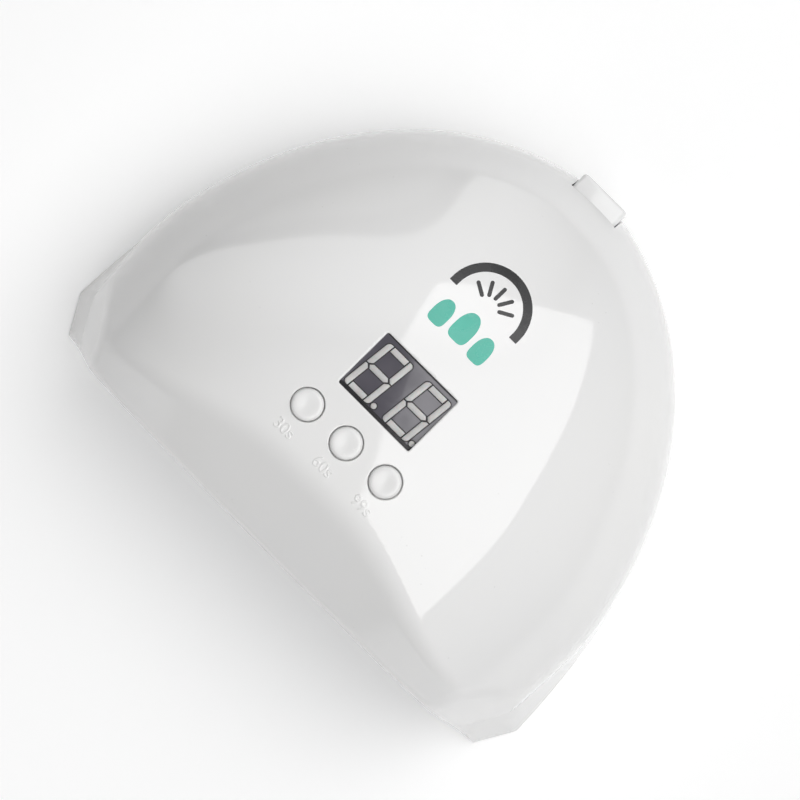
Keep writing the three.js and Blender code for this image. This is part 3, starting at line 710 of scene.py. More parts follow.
def makeDust():
    # sparse specks that lie only where a slow noise is high, as a mask
    group, source, out = makeGroup("dustSpecks", [
        ("Vector", "NodeSocketVector", None), ("Amount", "NodeSocketFloat", 0.05)],
        [("Mask", "NodeSocketFloat")])
    cells = group.nodes.new("ShaderNodeTexVoronoi")
    cells.inputs["Scale"].default_value = 420.0
    group.links.new(source.outputs["Vector"], cells.inputs["Vector"])
    specks = mapRange(group, cells.outputs["Distance"], 0.1, 0.04, 0.0, 1.0)
    places = noiseIn(group, source, 70.0, 1.0)
    chosen = mapRange(group, places.outputs["Fac"], 0.6, 0.68, 0.0, source.outputs["Amount"])
    both = group.nodes.new("ShaderNodeMath")
    both.operation = "MULTIPLY"
    group.links.new(specks, both.inputs[0])
    group.links.new(chosen, both.inputs[1])
    group.links.new(both.outputs[0], out.inputs["Mask"])
    return group


effects = {"marks": makeSmudges(), "drift": makeDrift(), "skin": makeSkin(), "dust": makeDust()}

# what each finish looks like: two close tints, clean and marked roughness, waves and grain
finishes = {
    "shellPlastic": {"tints": ((0.905, 0.902, 0.895), (0.885, 0.884, 0.882)), "rough": (0.055, 0.12),
                     "marks": 28, "wave": (45, 0.05), "grain": (2200, 0.02), "dust": 0.35,
                     "Coat Weight": 0.25, "Coat Roughness": 0.03},
    "capPlastic": {"tints": ((0.87, 0.867, 0.86), (0.85, 0.85, 0.847)), "rough": (0.16, 0.3), "marks": 160,
                   "wave": (220, 0.05), "grain": (3500, 0.06), "dust": 0.2},
    "basePlastic": {"tints": ((0.80, 0.80, 0.79), (0.76, 0.76, 0.755)), "rough": (0.42, 0.55), "marks": 40,
                    "wave": (90, 0.05), "grain": (1600, 0.6), "dust": 0.5},
    "mirrorSkin": {"tints": ((0.86, 0.87, 0.89), (0.8, 0.815, 0.84)), "rough": (0.05, 0.22), "marks": 60,
                   "wave": (55, 0.07), "grain": (2600, 0.08), "dust": 0.3, "Metallic": 1.0},
    "footRubber": {"tints": ((0.022, 0.022, 0.024), (0.035, 0.034, 0.036)), "rough": (0.6, 0.8), "marks": 120,
                   "wave": (300, 0.1), "grain": (2600, 0.5), "dust": 0.8},
    "screwSteel": {"tints": ((0.52, 0.53, 0.55), (0.42, 0.43, 0.46)), "rough": (0.2, 0.42), "marks": 500,
                   "wave": (900, 0.1), "grain": (5000, 0.2), "dust": 0.0, "Metallic": 1.0},
    "displayFace": {"tints": ((0.125, 0.118, 0.138), (0.085, 0.08, 0.098)), "rough": (0.12, 0.25),
                    "marks": 200, "wave": (160, 0.05), "grain": (3000, 0.05), "dust": 0.2,
                    "Coat Weight": 0.5, "Coat Roughness": 0.05},
    # one black for the display's own dark housing and for the painted shade in the gaps round the segments
    "displayWell": {"tints": ((0.010, 0.009, 0.012), (0.018, 0.016, 0.020)), "rough": (0.3, 0.5),
                    "marks": 300, "wave": (300, 0.1), "grain": (3000, 0.2), "dust": 0.0},
    "displaySegment": {"tints": ((0.62, 0.61, 0.60), (0.50, 0.495, 0.49)), "rough": (0.2, 0.35), "marks": 400,
                       "wave": (700, 0.15), "grain": (4000, 0.25), "dust": 0.0,
                       "Subsurface Weight": 0.1, "Subsurface Scale": 0.001},
    "boardGreen": {"tints": ((0.015, 0.11, 0.045), (0.02, 0.15, 0.06)), "rough": (0.25, 0.45), "marks": 150,
                   "wave": (400, 0.1), "grain": (2400, 0.3), "dust": 0.1},
    "boardWhite": {"tints": ((0.78, 0.79, 0.78), (0.7, 0.72, 0.71)), "rough": (0.3, 0.45), "marks": 150,
                   "wave": (300, 0.1), "grain": (2400, 0.3), "dust": 0.1},
    "blackPlastic": {"tints": ((0.012, 0.012, 0.013), (0.022, 0.022, 0.024)), "rough": (0.3, 0.5),
                     "marks": 150, "wave": (200, 0.1), "grain": (2600, 0.4), "dust": 0.3},
    "pinBrass": {"tints": ((0.62, 0.42, 0.16), (0.5, 0.33, 0.12)), "rough": (0.18, 0.35), "marks": 600,
                 "wave": (800, 0.1), "grain": (5000, 0.1), "dust": 0.0, "Metallic": 1.0},
    "ledLens": {"tints": ((0.80, 0.83, 0.95), (0.72, 0.75, 0.92)), "rough": (0.04, 0.1), "marks": 500,
                "wave": (500, 0.1), "grain": (4000, 0.02), "dust": 0.1, "Transmission Weight": 0.75,
                "IOR": 1.54},
    "capacitorSleeve": {"tints": ((0.012, 0.03, 0.14), (0.02, 0.045, 0.18)), "rough": (0.2, 0.35),
                        "marks": 300, "wave": (500, 0.1), "grain": (3000, 0.1), "dust": 0.1},
    "connectorNylon": {"tints": ((0.74, 0.68, 0.5), (0.66, 0.6, 0.44)), "rough": (0.35, 0.5), "marks": 300,
                       "wave": (400, 0.1), "grain": (3000, 0.3), "dust": 0.1},
    "leadRed": {"tints": ((0.42, 0.015, 0.015), (0.5, 0.03, 0.025)), "rough": (0.3, 0.45), "marks": 300,
                "wave": (400, 0.1), "grain": (3000, 0.2), "dust": 0.1},
    "leadBlack": {"tints": ((0.012, 0.012, 0.013), (0.022, 0.022, 0.024)), "rough": (0.35, 0.5), "marks": 300,
                  "wave": (400, 0.1), "grain": (3000, 0.2), "dust": 0.1},
    "inkBlack": {"tints": ((0.008, 0.008, 0.009), (0.016, 0.016, 0.018)), "rough": (0.22, 0.35), "marks": 200,
                 "wave": (300, 0.05), "grain": (2600, 0.1), "dust": 0.2},
    "inkTeal": {"tints": ((0.055, 0.47, 0.36), (0.075, 0.53, 0.41)), "rough": (0.22, 0.35), "marks": 200,
                "wave": (300, 0.05), "grain": (2600, 0.1), "dust": 0.2},
}


def makeMaterial(name):
    look = finishes[name]
    material = bpy.data.materials.new(name)
    material.use_nodes = True
    nodes, links = material.node_tree.nodes, material.node_tree.links
    shader = nodes["Principled BSDF"]
    place = nodes.new("ShaderNodeTexCoord")

    def effect(kind, **values):
        node = nodes.new("ShaderNodeGroup")
        node.node_tree = effects[kind]
        links.new(place.outputs["Object"], node.inputs["Vector"])
        for label, value in values.items():
            node.inputs[label].default_value = value
        return node

    first, second = ((*tint, 1) for tint in look["tints"])
    drift = effect("drift", Scale=look["marks"] * 0.5, First=first, Second=second)
    marks = effect("marks", Scale=look["marks"], Clean=look["rough"][0], Marked=look["rough"][1])
    skin = effect("skin", **{"Wave Scale": look["wave"][0], "Wave Height": look["wave"][1],
                             "Grain Scale": look["grain"][0], "Grain Height": look["grain"][1]})
    colour = drift.outputs["Color"]
    if look["dust"] > 0:
        dust = effect("dust", Amount=look["dust"])
        blend = nodes.new("ShaderNodeMix")
        blend.data_type = "RGBA"
        blend.inputs[7].default_value = (0.55, 0.54, 0.52, 1)
        links.new(dust.outputs["Mask"], blend.inputs["Factor"])
        links.new(colour, blend.inputs[6])
        colour = blend.outputs[2]
    links.new(colour, shader.inputs["Base Color"])
    links.new(marks.outputs["Roughness"], shader.inputs["Roughness"])
    links.new(skin.outputs["Normal"], shader.inputs["Normal"])
    for label, value in look.items():
        if label in shader.inputs:
            shader.inputs[label].default_value = value
    return material


materials = {name: makeMaterial(name) for name in finishes}
print("materials:", len(materials))


studio = {
    "eye": (0.0333, -0.0124, 0.7), "target": (-0.0015, -0.0124, 0), "up": (-1, 1, 0), "lens": 120,
    "floorSize": 3.0, "floorGlow": 0.2, "world": 0.14,
    "keyCorner": (0.307, 0.866, 0.395), "keyLow": (0.296, -0.911, 0.289), "keyUp": (-0.549, 0.085, 0.833),
    "keySize": (1.5, 1.15), "keyDistance": 0.8, "keyPower": 8.8,
    "fillFrom": (0.0, -0.7, 0.7), "fillDistance": 0.9, "fillSize": (0.9, 0.7), "fillPower": 1.5,
}


def placed(right, up, back, spot):
    return Matrix((
        (right.x, up.x, back.x, spot[0]), (right.y, up.y, back.y, spot[1]),
        (right.z, up.z, back.z, spot[2]), (0, 0, 0, 1)))


def aimCamera():
    camera = inScene("camera", bpy.data.cameras.new("camera"))
    eye = Vector(studio["eye"])
    ahead = (Vector(studio["target"]) - eye).normalized()
    right = ahead.cross(Vector(studio["up"])).normalized()
    camera.matrix_world = placed(right, right.cross(ahead), -ahead, eye)
    camera.data.lens = studio["lens"]
    camera.data.sensor_width = 36
    camera.data.clip_start, camera.data.clip_end = 0.01, 20
    bpy.context.scene.camera = camera


def softbox(name, centre, right, up, size, power):
    # an area light whose sides lie along two given directions, shining to -Z of its own frame
    lamp = bpy.data.lights.new(name, "AREA")
    lamp.shape = "RECTANGLE"
    lamp.size, lamp.size_y = size
    lamp.energy = power
    right, up = Vector(right).normalized(), Vector(up).normalized()
    back = right.cross(up).normalized()
    box = inScene(name, lamp)
    box.matrix_world = placed(right, back.cross(right), back, centre)
    box.visible_camera = False
    return box


# a wide screen seen only in reflections; its places are directions from the lamp
screen = {
    "side": (-0.565, 0.818, 0.109), "corner": (-0.467, 0.643, 0.607), "top": (-0.934, 0.272, 0.233),
    "round": 0.37, "inside": 0.4, "outside": 1.45,  # corner radius, brightness inside and outside it
    "gap": 0.09, "softEdge": 0.03, "farEdge": 0.05, "fadeStart": 0.19, "fadeEnd": 1.1,
    "half": 1.3, "low": -0.9, "borderFade": 0.35, "distance": 1.1, "columns": 200, "rows": 170,
}


def rightOf(spots, start, end):
    # distance to the line from start to end, positive to its right
    along = (end - start) / np.linalg.norm(end - start)
    return (spots[:, 0] - start[0]) * along[1] - (spots[:, 1] - start[1]) * along[0]


def screenGlow(flat, side, corner, top):
    # lit inside a rounded corner, dark along its border and lit again beyond it, where the light
    # fades with the distance from the border
    within = np.array([[0.0, -0.6]])  # a spot inside the corner
    first, second = (rightOf(flat, *line) * np.sign(rightOf(within, *line)[0])
                     for line in ((side, corner), (corner, top)))
    depth = smoothMin(first, second, screen["round"])
    beyond = ease(-depth, screen["gap"], screen["gap"] + screen["farEdge"])
    beyond = beyond * (1 - ease(-depth, screen["fadeStart"], screen["fadeEnd"]))
    glow = screen["inside"] * ease(depth, 0, screen["softEdge"]) + screen["outside"] * beyond
    border = screen["half"] - np.maximum(np.abs(flat[:, 0]), flat[:, 1])
    return glow * ease(border, 0, screen["borderFade"])


def screenPaint():
    paint = bpy.data.materials.new("screenGlow")
    paint.use_nodes = True
    nodes, links = paint.node_tree.nodes, paint.node_tree.links
    nodes.clear()
    strength = nodes.new("ShaderNodeAttribute")
    strength.attribute_name = "glow"
    lamp = nodes.new("ShaderNodeEmission")
    links.new(strength.outputs["Fac"], lamp.inputs["Strength"])
    links.new(lamp.outputs[0], nodes.new("ShaderNodeOutputMaterial").inputs["Surface"])
    return paint


def makeScreen():
    # a flat grid square to the middle direction, so that a spot is centre + u level + v up
    directions = [np.array(screen[key]) for key in ("side", "corner", "top")]
    centre = sum(directions) / np.linalg.norm(sum(directions))
    level = np.cross([0, 0, 1], centre)
    level /= np.linalg.norm(level)
    up = np.cross(centre, level)
    border = (np.array([way @ level, way @ up]) / (way @ centre) for way in directions)
    half, columns, lines = screen["half"], screen["columns"], screen["rows"]
    u, v = np.meshgrid(np.linspace(-half, half, columns), np.linspace(screen["low"], half, lines))
    flat = np.stack([u.ravel(), v.ravel()], 1)
    spots = screen["distance"] * (centre + flat[:, :1] * level + flat[:, 1:] * up)
    faces = gridFaces(lines, columns)
    faces = faces[(spots[faces][:, :, 2] > 0.02).all(axis=1)]  # only what is above the floor
    mesh = bpy.data.meshes.new("screen")
    mesh.from_pydata(spots.tolist(), [], faces.tolist())
    glow = mesh.attributes.new("glow", "FLOAT", "POINT")
    glow.data.foreach_set("value", screenGlow(flat, *border))
    mesh.materials.append(screenPaint())
    panelOfLight = inScene("screen", mesh)
    panelOfLight.visible_camera = False
    panelOfLight.visible_diffuse = False
    panelOfLight.visible_shadow = False


def makeFloor():
    half = studio["floorSize"] / 2
    mesh = bpy.data.meshes.new("floor")
    mesh.from_pydata([(-half, -half, 0), (half, -half, 0), (half, half, 0), (-half, half, 0)],
                     [], [(0, 1, 2, 3)])
    paper = bpy.data.materials.new("paleFloor")
    paper.use_nodes = True
    shader = paper.node_tree.nodes["Principled BSDF"]
    shader.inputs["Base Color"].default_value = (0.93, 0.93, 0.93, 1)
    shader.inputs["Roughness"].default_value = 0.7
    shader.inputs["Emission Color"].default_value = (1, 1, 1, 1)
    shader.inputs["Emission Strength"].default_value = studio["floorGlow"]
    mesh.materials.append(paper)
    inScene("floor", mesh)


def makeStudio():
    scene = bpy.context.scene
    scene.view_settings.view_transform = "Standard"
    world = bpy.data.worlds.new("studio")
    world.use_nodes = True
    world.node_tree.nodes["Background"].inputs["Color"].default_value = (1, 1, 1, 1)
    world.node_tree.nodes["Background"].inputs["Strength"].default_value = studio["world"]
    scene.world = world

    distance = studio["keyDistance"]
    wide, high = studio["keySize"]
    low, up = np.array(studio["keyLow"]), np.array(studio["keyUp"])
    centre = distance * (np.array(studio["keyCorner"]) + low * wide / 2 + up * high / 2)
    softbox("keyLight", centre, -low, up, (wide * distance, high * distance), studio["keyPower"])
    away = Vector(studio["fillFrom"]).normalized()
    across = Vector((0, 0, 1)).cross(away).normalized()
    fill = softbox("fillLight", away * studio["fillDistance"], across, away.cross(across),
                   studio["fillSize"], studio["fillPower"])
    fill.visible_glossy = False
    makeScreen()
    makeFloor()


aimCamera()
makeStudio()
print("studio set")


def softNormals(spots, faces):
    # normals of the faces round each point, weighted by their area
    a, b, c = (spots[faces[:, k]] for k in range(3))
    flat = np.cross(b - a, c - a)
    normals = np.zeros_like(spots)
    for k in range(3):
        np.add.at(normals, faces[:, k], flat)
    return normals / np.maximum(np.linalg.norm(normals, axis=1, keepdims=True), 1e-12)


def insetConvex(loop, depth):
    # a convex outline, anticlockwise, with each side moved in by the depth: each corner goes along
    # the sum of its sides' inward normals, over one plus their product
    ahead = np.roll(loop, -1, axis=0) - loop
    ahead /= np.linalg.norm(ahead, axis=1, keepdims=True)
    behind = np.roll(ahead, 1, axis=0)
    inward = np.stack([-ahead[:, 1], ahead[:, 0]], 1)
    inwardBehind = np.stack([-behind[:, 1], behind[:, 0]], 1)
    return loop + depth * (inward + inwardBehind) / (1 + np.sum(inward * inwardBehind, axis=1))[:, None]


def pillow(loop, low, high, edge, steps=5):
    # a convex outline raised from low to high, its top edge rolled over: the inset goes with
    # 1 - cos and the height with sin of the same angle
    count = len(loop)
    rings = [np.column_stack([loop, np.full(count, low)])]
    for angle in np.linspace(0, math.pi / 2, steps):
        flat = insetConvex(loop, edge * (1 - math.cos(angle)))
        rings.append(np.column_stack([flat, np.full(count, high - edge * 0.5 * (1 - math.sin(angle)))]))
    sides, wall = tube(rings)
    fan = np.stack([np.zeros(count - 2, int), np.arange(1, count - 1), np.arange(2, count)], 1)
    closed = np.concatenate([sides, rings[-1], rings[0]])
    faces = np.concatenate([wall, fan + len(sides), fan[:, ::-1] + len(sides) + count])
    keys = np.round(closed * 1e4).astype(int)
    _, first, place = np.unique(keys, axis=0, return_index=True, return_inverse=True)
    faces = place.ravel()[faces]
    return closed[first], faces, softNormals(closed[first], faces)


def roundedBox(size, centre, edge, steps=4):
    # a box whose faces stop short of its edges by the radius: each point of a cube grid goes to the
    # nearest point of the inner box, then out by the radius
    size, centre = np.asarray(size, float), np.asarray(centre, float)
    inner = size / 2 - edge
    line = np.tan(np.linspace(-1, 1, 2 * steps + 2) * math.pi / 4)
    u, v = np.meshgrid(line, line)
    parts = []
    for axis in range(3):
        for sign in (-1, 1):
            cube = np.empty((u.size, 3))
            cube[:, axis] = sign
            cube[:, (axis + 1) % 3] = u.ravel() * sign
            cube[:, (axis + 2) % 3] = v.ravel()
            ball = cube / np.linalg.norm(cube, axis=1, keepdims=True)
            side = np.where(np.abs(cube) > 1e-9, np.sign(cube), 0)
            spots = centre + side * inner + ball * edge
            parts.append((spots, gridFaces(len(line), len(line)), ball))
    return parts


# display: dark housing, face plate, segments each ringed by a thin black film that paints the shade in the
# gap round it
display = {
    "deep": 19.0, "thick": 8.0, "down": 1.95,  # housing, and how far its top lies under the panel
    "face": (24.0, 15.7, 1.2), "faceUp": 0.35, "faceRise": 0.35, "boxEdge": 0.3, "faceEdge": 0.15,
    "digit": (8.4, 14.3), "pitch": 12.85, "digitUp": -0.15, "slant": 6.2,
    "segment": 1.5, "gap": 0.32, "outerCorner": 1.0, "segmentRise": 0.22, "segmentEdge": 0.45,
    # the black ring round each segment is painted shade for the gap round it: how far it reaches out, rises,
    # sinks and rounds over
    "segmentSunk": 0.2, "well": 0.26, "wellRise": 0.03, "wellSunk": 0.4, "wellEdge": 0.02,
    "point": 0.75, "pointPlace": (4.65, -6.35),
}


def onPanel(name, parts, finish, body="housing", replaces=()):
    addPiece(makeMesh(name, movedParts(parts, panelMatrix)), finish, body, replaces)


def slanted(loop):
    lean = math.tan(math.radians(display["slant"]))
    return np.column_stack([loop[:, 0] + loop[:, 1] * lean, loop[:, 1]])


def digitLoops():
    # outlines of the seven segments round the middle of a digit, before the slant
    wide, high = display["digit"]
    w, g, r = display["segment"], display["gap"], display["outerCorner"]
    x, y = wide / 2, high / 2
    arc = np.linspace(0, math.pi / 2, 5)
    across = np.array([[-x + w + g, y - w], [x - w - g, y - w], [x - w - g, y], [-x + w + g, y]])
    upright = np.array([[x - w, w * 0.5 + g * 0.4], [x - w * 0.45, g / 2], [x, g / 2], [x, y - r]])
    roundCorner = np.stack([x - r + r * np.cos(arc), y - r + r * np.sin(arc)], 1)[1:]
    upright = np.concatenate([upright, roundCorner, [[x - w, y]]])
    reach = x - w * 0.55 - g
    middle = np.array([[-reach, 0], [-reach + w / 2, -w / 2], [reach - w / 2, -w / 2],
                       [reach, 0], [reach - w / 2, w / 2], [-reach + w / 2, w / 2]])
    loops = [across, across[::-1] * [1, -1], middle]
    for sx in (1, -1):
        for sy in (1, -1):
            loop = upright * [sx, sy]
            loops.append(loop if sx * sy > 0 else loop[::-1])
    return loops


def makeDisplay():
    low, high = nodeBox("display_module")
    top, thick = -display["down"], display["thick"]
    housing = roundedBox((high[0] - low[0], display["deep"], thick), (0, 0, top - thick / 2),
                         display["boxEdge"])
    onPanel("displayHousing", housing, "displayWell", replaces=("display_module",))
    top += display["faceRise"]
    face = roundedBox(display["face"], (0, display["faceUp"], top - display["face"][2] / 2),
                      display["faceEdge"])
    onPanel("displayFace", face, "displayFace")
    turn = np.arange(28) / 28 * 2 * math.pi
    point = display["point"] * np.stack([np.cos(turn), np.sin(turn)], 1)
    gapShades, lit = [], []
    for side in (-1, 1):
        centre = np.array([side * display["pitch"] / 2, display["digitUp"]])
        loops = [slanted(loop) + centre for loop in digitLoops()]
        loops.append(point + centre + display["pointPlace"])
        for loop in loops:
            # painted shade: a black film round each segment and the point, where the gap round it lies in
            # shade
            gapShades.append(pillow(insetConvex(loop, -display["well"]), top - display["wellSunk"],
                                top + display["wellRise"], display["wellEdge"], 2))
            lit.append(pillow(loop, top - display["segmentSunk"], top + display["segmentRise"],
                              display["segmentEdge"]))
    # the black films round the segments, painted shade of their gaps
    onPanel("displayWells", gapShades, "displayWell")
    onPanel("displaySegments", lit, "displaySegment")


# button caps: a stem, a flange under the shell and a softly domed top with a faint dish
cap = {"radius": 3.95, "roll": 1.05, "rollHigh": 0.75, "dish": 0.16, "stemRadius": 1.9,
       "flange": 4.9, "flangeThick": 1.0, "flangeEdge": 0.15}


def capProfile(stem, flangeTop, crown):
    r, roll, flange, edge = (cap[key] for key in ("radius", "roll", "flange", "flangeEdge"))
    angle = np.linspace(0, math.pi / 2, 9)
    rolled = np.stack([r - roll * (1 - np.cos(angle)),
                       crown - cap["rollHigh"] * roll * (1 - np.sin(angle))], 1)
    inner = np.linspace(r - roll, 0, 9)[1:]
    # the dish goes with the cosine from the rolled edge to the middle
    dish = crown - cap["dish"] * (1 - np.cos(math.pi * (1 - inner / (r - roll)))) / 2
    under = flangeTop - cap["flangeThick"]
    below = [[0, stem], [cap["stemRadius"], stem], [cap["stemRadius"], under], [flange - edge, under],
             [flange, under + edge], [flange, flangeTop - edge], [flange - edge, flangeTop], [r, flangeTop]]
    return np.concatenate([below, rolled, np.stack([inner, dish], 1)])


def makeCaps():
    # each cap takes its stem's end, flange and top from its node, seen in the panel's own frame
    inverse = np.linalg.inv(panelMatrix)
    for name, x in buttonX.items():
        node = "button_cap_" + name
        local = meshPoints(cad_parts[node].data) / mm @ inverse[:3, :3].T + inverse[:3, 3]
        row = (local[:, 1].min() + local[:, 1].max()) / 2
        wide = np.hypot(local[:, 0] - x, local[:, 1] - row) > (cap["radius"] + cap["flange"]) / 2
        profile = capProfile(local[:, 2].min(), local[wide, 2].max(), local[:, 2].max())
        parts = movedParts(turnedPart(profile, 72), np.array(Matrix.Translation((x, row, 0))))
        onPanel("buttonCap" + name, parts, "capPlastic", "button_" + name, (node,))


# marks on the shell, laid on its surface
label = {"size": 4.1, "rise": 0.24, "row": -36.7}


def placeOnShell(spots, centre):
    x, y = spots[:, 0] + centre[0], spots[:, 1] + centre[1]
    return np.column_stack([x, y, skinHeight(x, y) + spots[:, 2]])


def makeLabels():
    for name, x in buttonX.items():
        curve = bpy.data.curves.new("label" + name, "FONT")
        curve.body = name + "s"
        curve.size = label["size"]
        curve.align_x = "CENTER"
        curve.align_y = "CENTER"
        curve.extrude = label["rise"] * 0.4
        curve.bevel_depth = label["rise"] * 0.6
        curve.bevel_resolution = 2
        curve.offset = -label["rise"] * 0.4
        text = inScene("label" + name, curve)
        bpy.context.view_layer.update()
        mesh = bpy.data.meshes.new_from_object(text.evaluated_get(bpy.context.evaluated_depsgraph_get()))
        bpy.data.objects.remove(text)
        work = bmesh.new()
        work.from_mesh(mesh)
        bmesh.ops.remove_doubles(work, verts=work.verts, dist=0.001)
        bmesh.ops.triangulate(work, faces=work.faces)
        bmesh.ops.recalc_face_normals(work, faces=work.faces)
        work.to_mesh(mesh)
        work.free()
        onSkin = placeOnShell(meshPoints(mesh), (x, label["row"])) * mm
        mesh.vertices.foreach_set("co", onSkin.ravel())
        mesh.update()
        mesh.name = "label" + name
        mesh.materials.clear()
        addPiece(mesh, "shellPlastic")


# printed mark: a lamp arch with rays over three nails
mark = {
    "centre": (0.4, 16.6), "ink": 0.02, "under": 0.002, "grid": 0.7, "clear": 0.25,
    "arch": (11.2, 8.9), "archFoot": (0.2, 1.4),  # outer and inner radius, lower and upper end of the feet
    "rays": (30, 60, 90, 120, 150), "rayFrom": 3.4, "rayTo": 6.6, "rayUp": 1.2, "rayWide": 1.0,
    "nail": (2.6, 4.6), "nails": ((-6.6, -7.4, 0.92), (0, -6.3, 1.08), (6.6, -7.4, 0.92)),
}


def printed(name, groups, finish):
    # flat outlines filled with a fine grid and laid on the shell as a thin closed film; the first
    # outline of a group is its edge and the rest are holes
    parts = []
    for group in groups:
        edge = np.concatenate(group)
        (left, low), (right, high) = edge.min(axis=0), edge.max(axis=0)
        x, y = np.meshgrid(np.arange(left, right, mark["grid"]), np.arange(low, high, mark["grid"]))
        spare = np.stack([x.ravel(), y.ravel()], 1)
        spare = spare[insideLoops(spare, group)]
        if len(spare):
            away = np.hypot(*(spare[:, None] - edge[None]).transpose(2, 0, 1)).min(axis=1)
            spare = spare[away > mark["clear"]]
        flat, faces = fillFlat(group, spare)
        under, top = (placeOnShell(np.column_stack([flat, np.full(len(flat), rise)]), mark["centre"])
                      for rise in (mark["under"], mark["ink"]))
        normals = slopeNormals(skinHeight, top[:, 0], top[:, 1])
        parts.append((top, faces, normals))
        parts.append((under, faces[:, ::-1], -normals))
        start = 0
        for loop in group:
            ids = slice(start, start + len(loop))
            start += len(loop)
            spots, wall = tube([under[ids], top[ids]])
            after = np.roll(loop, -1, axis=0)
            turnsLeft = np.sum(loop[:, 0] * after[:, 1] - loop[:, 1] * after[:, 0]) > 0
            parts.append((spots, wall if turnsLeft == (loop is group[0]) else wall[:, ::-1], None))
    addPiece(makeMesh(name, parts), finish)


def roundBar(start, end, wide, steps=8):
    # a straight stroke with round ends
    start, end = np.array(start, float), np.array(end, float)
    along = (end - start) / np.linalg.norm(end - start)
    turn = math.atan2(along[1], along[0])
    ends = []
    for middle, first in ((start, turn + math.pi / 2), (end, turn - math.pi / 2)):
        arc = np.linspace(first, first + math.pi, steps)
        ends.append(middle + wide / 2 * np.stack([np.cos(arc), np.sin(arc)], 1))
    return np.concatenate(ends)


def makeMark():
    # arch: a half ring standing on two short feet; rays fan out inside it
    turn = np.linspace(0, math.pi, 61)
    outer, inner = mark["arch"]
    low, high = mark["archFoot"]
    ring = np.stack([np.cos(turn), np.sin(turn)], 1)
    arch = np.concatenate([outer * ring + [0, high], [[-outer, low], [-inner, low]],
                           inner * ring[::-1] + [0, high], [[inner, low], [outer, low]]])
    rays = []
    for angle in np.radians(mark["rays"]):
        way = np.array([math.cos(angle), math.sin(angle)])
        start, end = (reach * way + [0, mark["rayUp"]] for reach in (mark["rayFrom"], mark["rayTo"]))
        rays.append([roundBar(start, end, mark["rayWide"])])
    printed("markArch", [[arch], *rays], "inkBlack")

    # a nail: an ellipse squared off towards the finger
    angle = np.linspace(0, 2 * math.pi, 48, endpoint=False)
    across, along = np.cos(angle), np.sin(angle)
    power = np.where(along > 0, 0.9, 0.55)
    wide, tall = mark["nail"]
    nail = np.stack([wide * np.sign(across) * np.abs(across) ** power,
                     tall * np.sign(along) * np.abs(along) ** power * np.where(along > 0, 1.0, 0.72)], 1)
    printed("markNails", [[size * nail + [x, y]] for x, y, size in mark["nails"]], "inkTeal")


def refined(name, nodes, finish, slot, bevel, angle=28):
    # a merged copy of a plain piece with its edges rounded
    work = bmesh.new()
    for node in nodes:
        work.from_mesh(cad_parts[node].data)
    bmesh.ops.remove_doubles(work, verts=work.verts, dist=1e-6)
    bmesh.ops.dissolve_limit(work, angle_limit=math.radians(2), verts=work.verts, edges=work.edges)
    mesh = bpy.data.meshes.new(name)
    work.to_mesh(mesh)
    work.free()
    mesh.shade_smooth()
    mesh.set_sharp_from_angle(angle=math.radians(angle))
    piece = addPiece(mesh, finish, replaces=nodes)
    edge = piece.modifiers.new("softEdges", "BEVEL")
    edge.width = bevel * mm
    edge.segments = 3
    edge.limit_method = "ANGLE"
    edge.angle_limit = math.radians(angle)
    edge.harden_normals = True


# pieces kept as the plain node with rounded edges: finish, material slot, edge radius and, where
# shallow facets meet, the angle from which an edge counts
softened = {
    "basePlate": (("base_plate",), "basePlastic", "base_white", 0.3),
    "innerReflector": (("inner_reflector",), "mirrorSkin", "reflector_mirror", 0.25, 12),
    "floorReflector": (("floor_reflector",), "mirrorSkin", "reflector_mirror", 0.12),
    "controlBoard": (("control_board",), "boardGreen", "board_green", 0.12),
    "controllerChip": (("controller_chip",), "blackPlastic", "black_plastic", 0.1),
    "leadConnector": (("lead_connector",), "connectorNylon", "connector_cream", 0.3),
    "dcJack": (("dc_jack",), "blackPlastic", "black_plastic", 0.25),
    "handSensor": (("hand_sensor",), "blackPlastic", "black_plastic", 0.2),
    "switchBodies": (("switch_body_30", "switch_body_60", "switch_body_99"), "screwSteel",
                     "screw_steel", 0.15),
    "ledBoards": (("led_board_top", "led_board_left", "led_board_right", "led_board_back"),
                  "boardWhite", "board_white", 0.12),
}

collar = {"edge": 0.9, "corner": 1.3, "rim": 0.35, "jackGap": 0.3, "jackCorner": 0.5, "creaseAngle": 38}


def makeCollar():
    # outline of the block seen from behind, run along its depth and rolled over the outer face
    # into the hole for the jack
    low, high = nodeBox("socket_collar")
    jackLow, jackHigh = nodeBox("dc_jack")
    middle, back = (low + high) / 2, high[1]
    outside = (high - low)[[0, 2]]
    hole = (jackHigh - jackLow)[[0, 2]] + 2 * collar["jackGap"]
    edge, rim = collar["edge"], collar["rim"]

    def ring(y, size, corner):
        flat = np.concatenate(cornerArcs(size, corner, 7))
        return np.column_stack([middle[0] + flat[:, 0], np.full(len(flat), y), middle[2] + flat[:, 1]])

    rings = [ring(low[1], outside, collar["corner"])]
    turns = [(math.sin(angle), math.cos(angle)) for angle in np.linspace(0, math.pi / 2, 7)]
    rings += [ring(back - edge * (1 - up), outside - 2 * edge * (1 - out), collar["corner"])
              for up, out in turns]
    rings += [ring(back - rim * (1 - out), hole + 2 * rim * (1 - up), collar["jackCorner"])
              for up, out in turns]
    rings += [ring(low[1], hole, collar["jackCorner"]), rings[0]]
    spots, faces = tube(rings)
    mesh = makeMesh("socketCollar", [(spots, faces[:, ::-1], None)])
    mesh.set_sharp_from_angle(angle=math.radians(collar["creaseAngle"]))
    addPiece(mesh, "shellPlastic", replaces=("socket_collar",))


def nodesFrom(start):
    return [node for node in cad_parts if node.startswith(start)]


def turnedPiece(start, name, node, parts, spot, finish):
    # base_screw_front_left, from the start base_screw, becomes baseScrewFrontLeft
    name += "".join(word.capitalize() for word in node[len(start):].split("_"))
    mesh = makeMesh(name, movedParts(parts, np.array(Matrix.Translation(spot))))
    addPiece(mesh, finish, replaces=(node,))


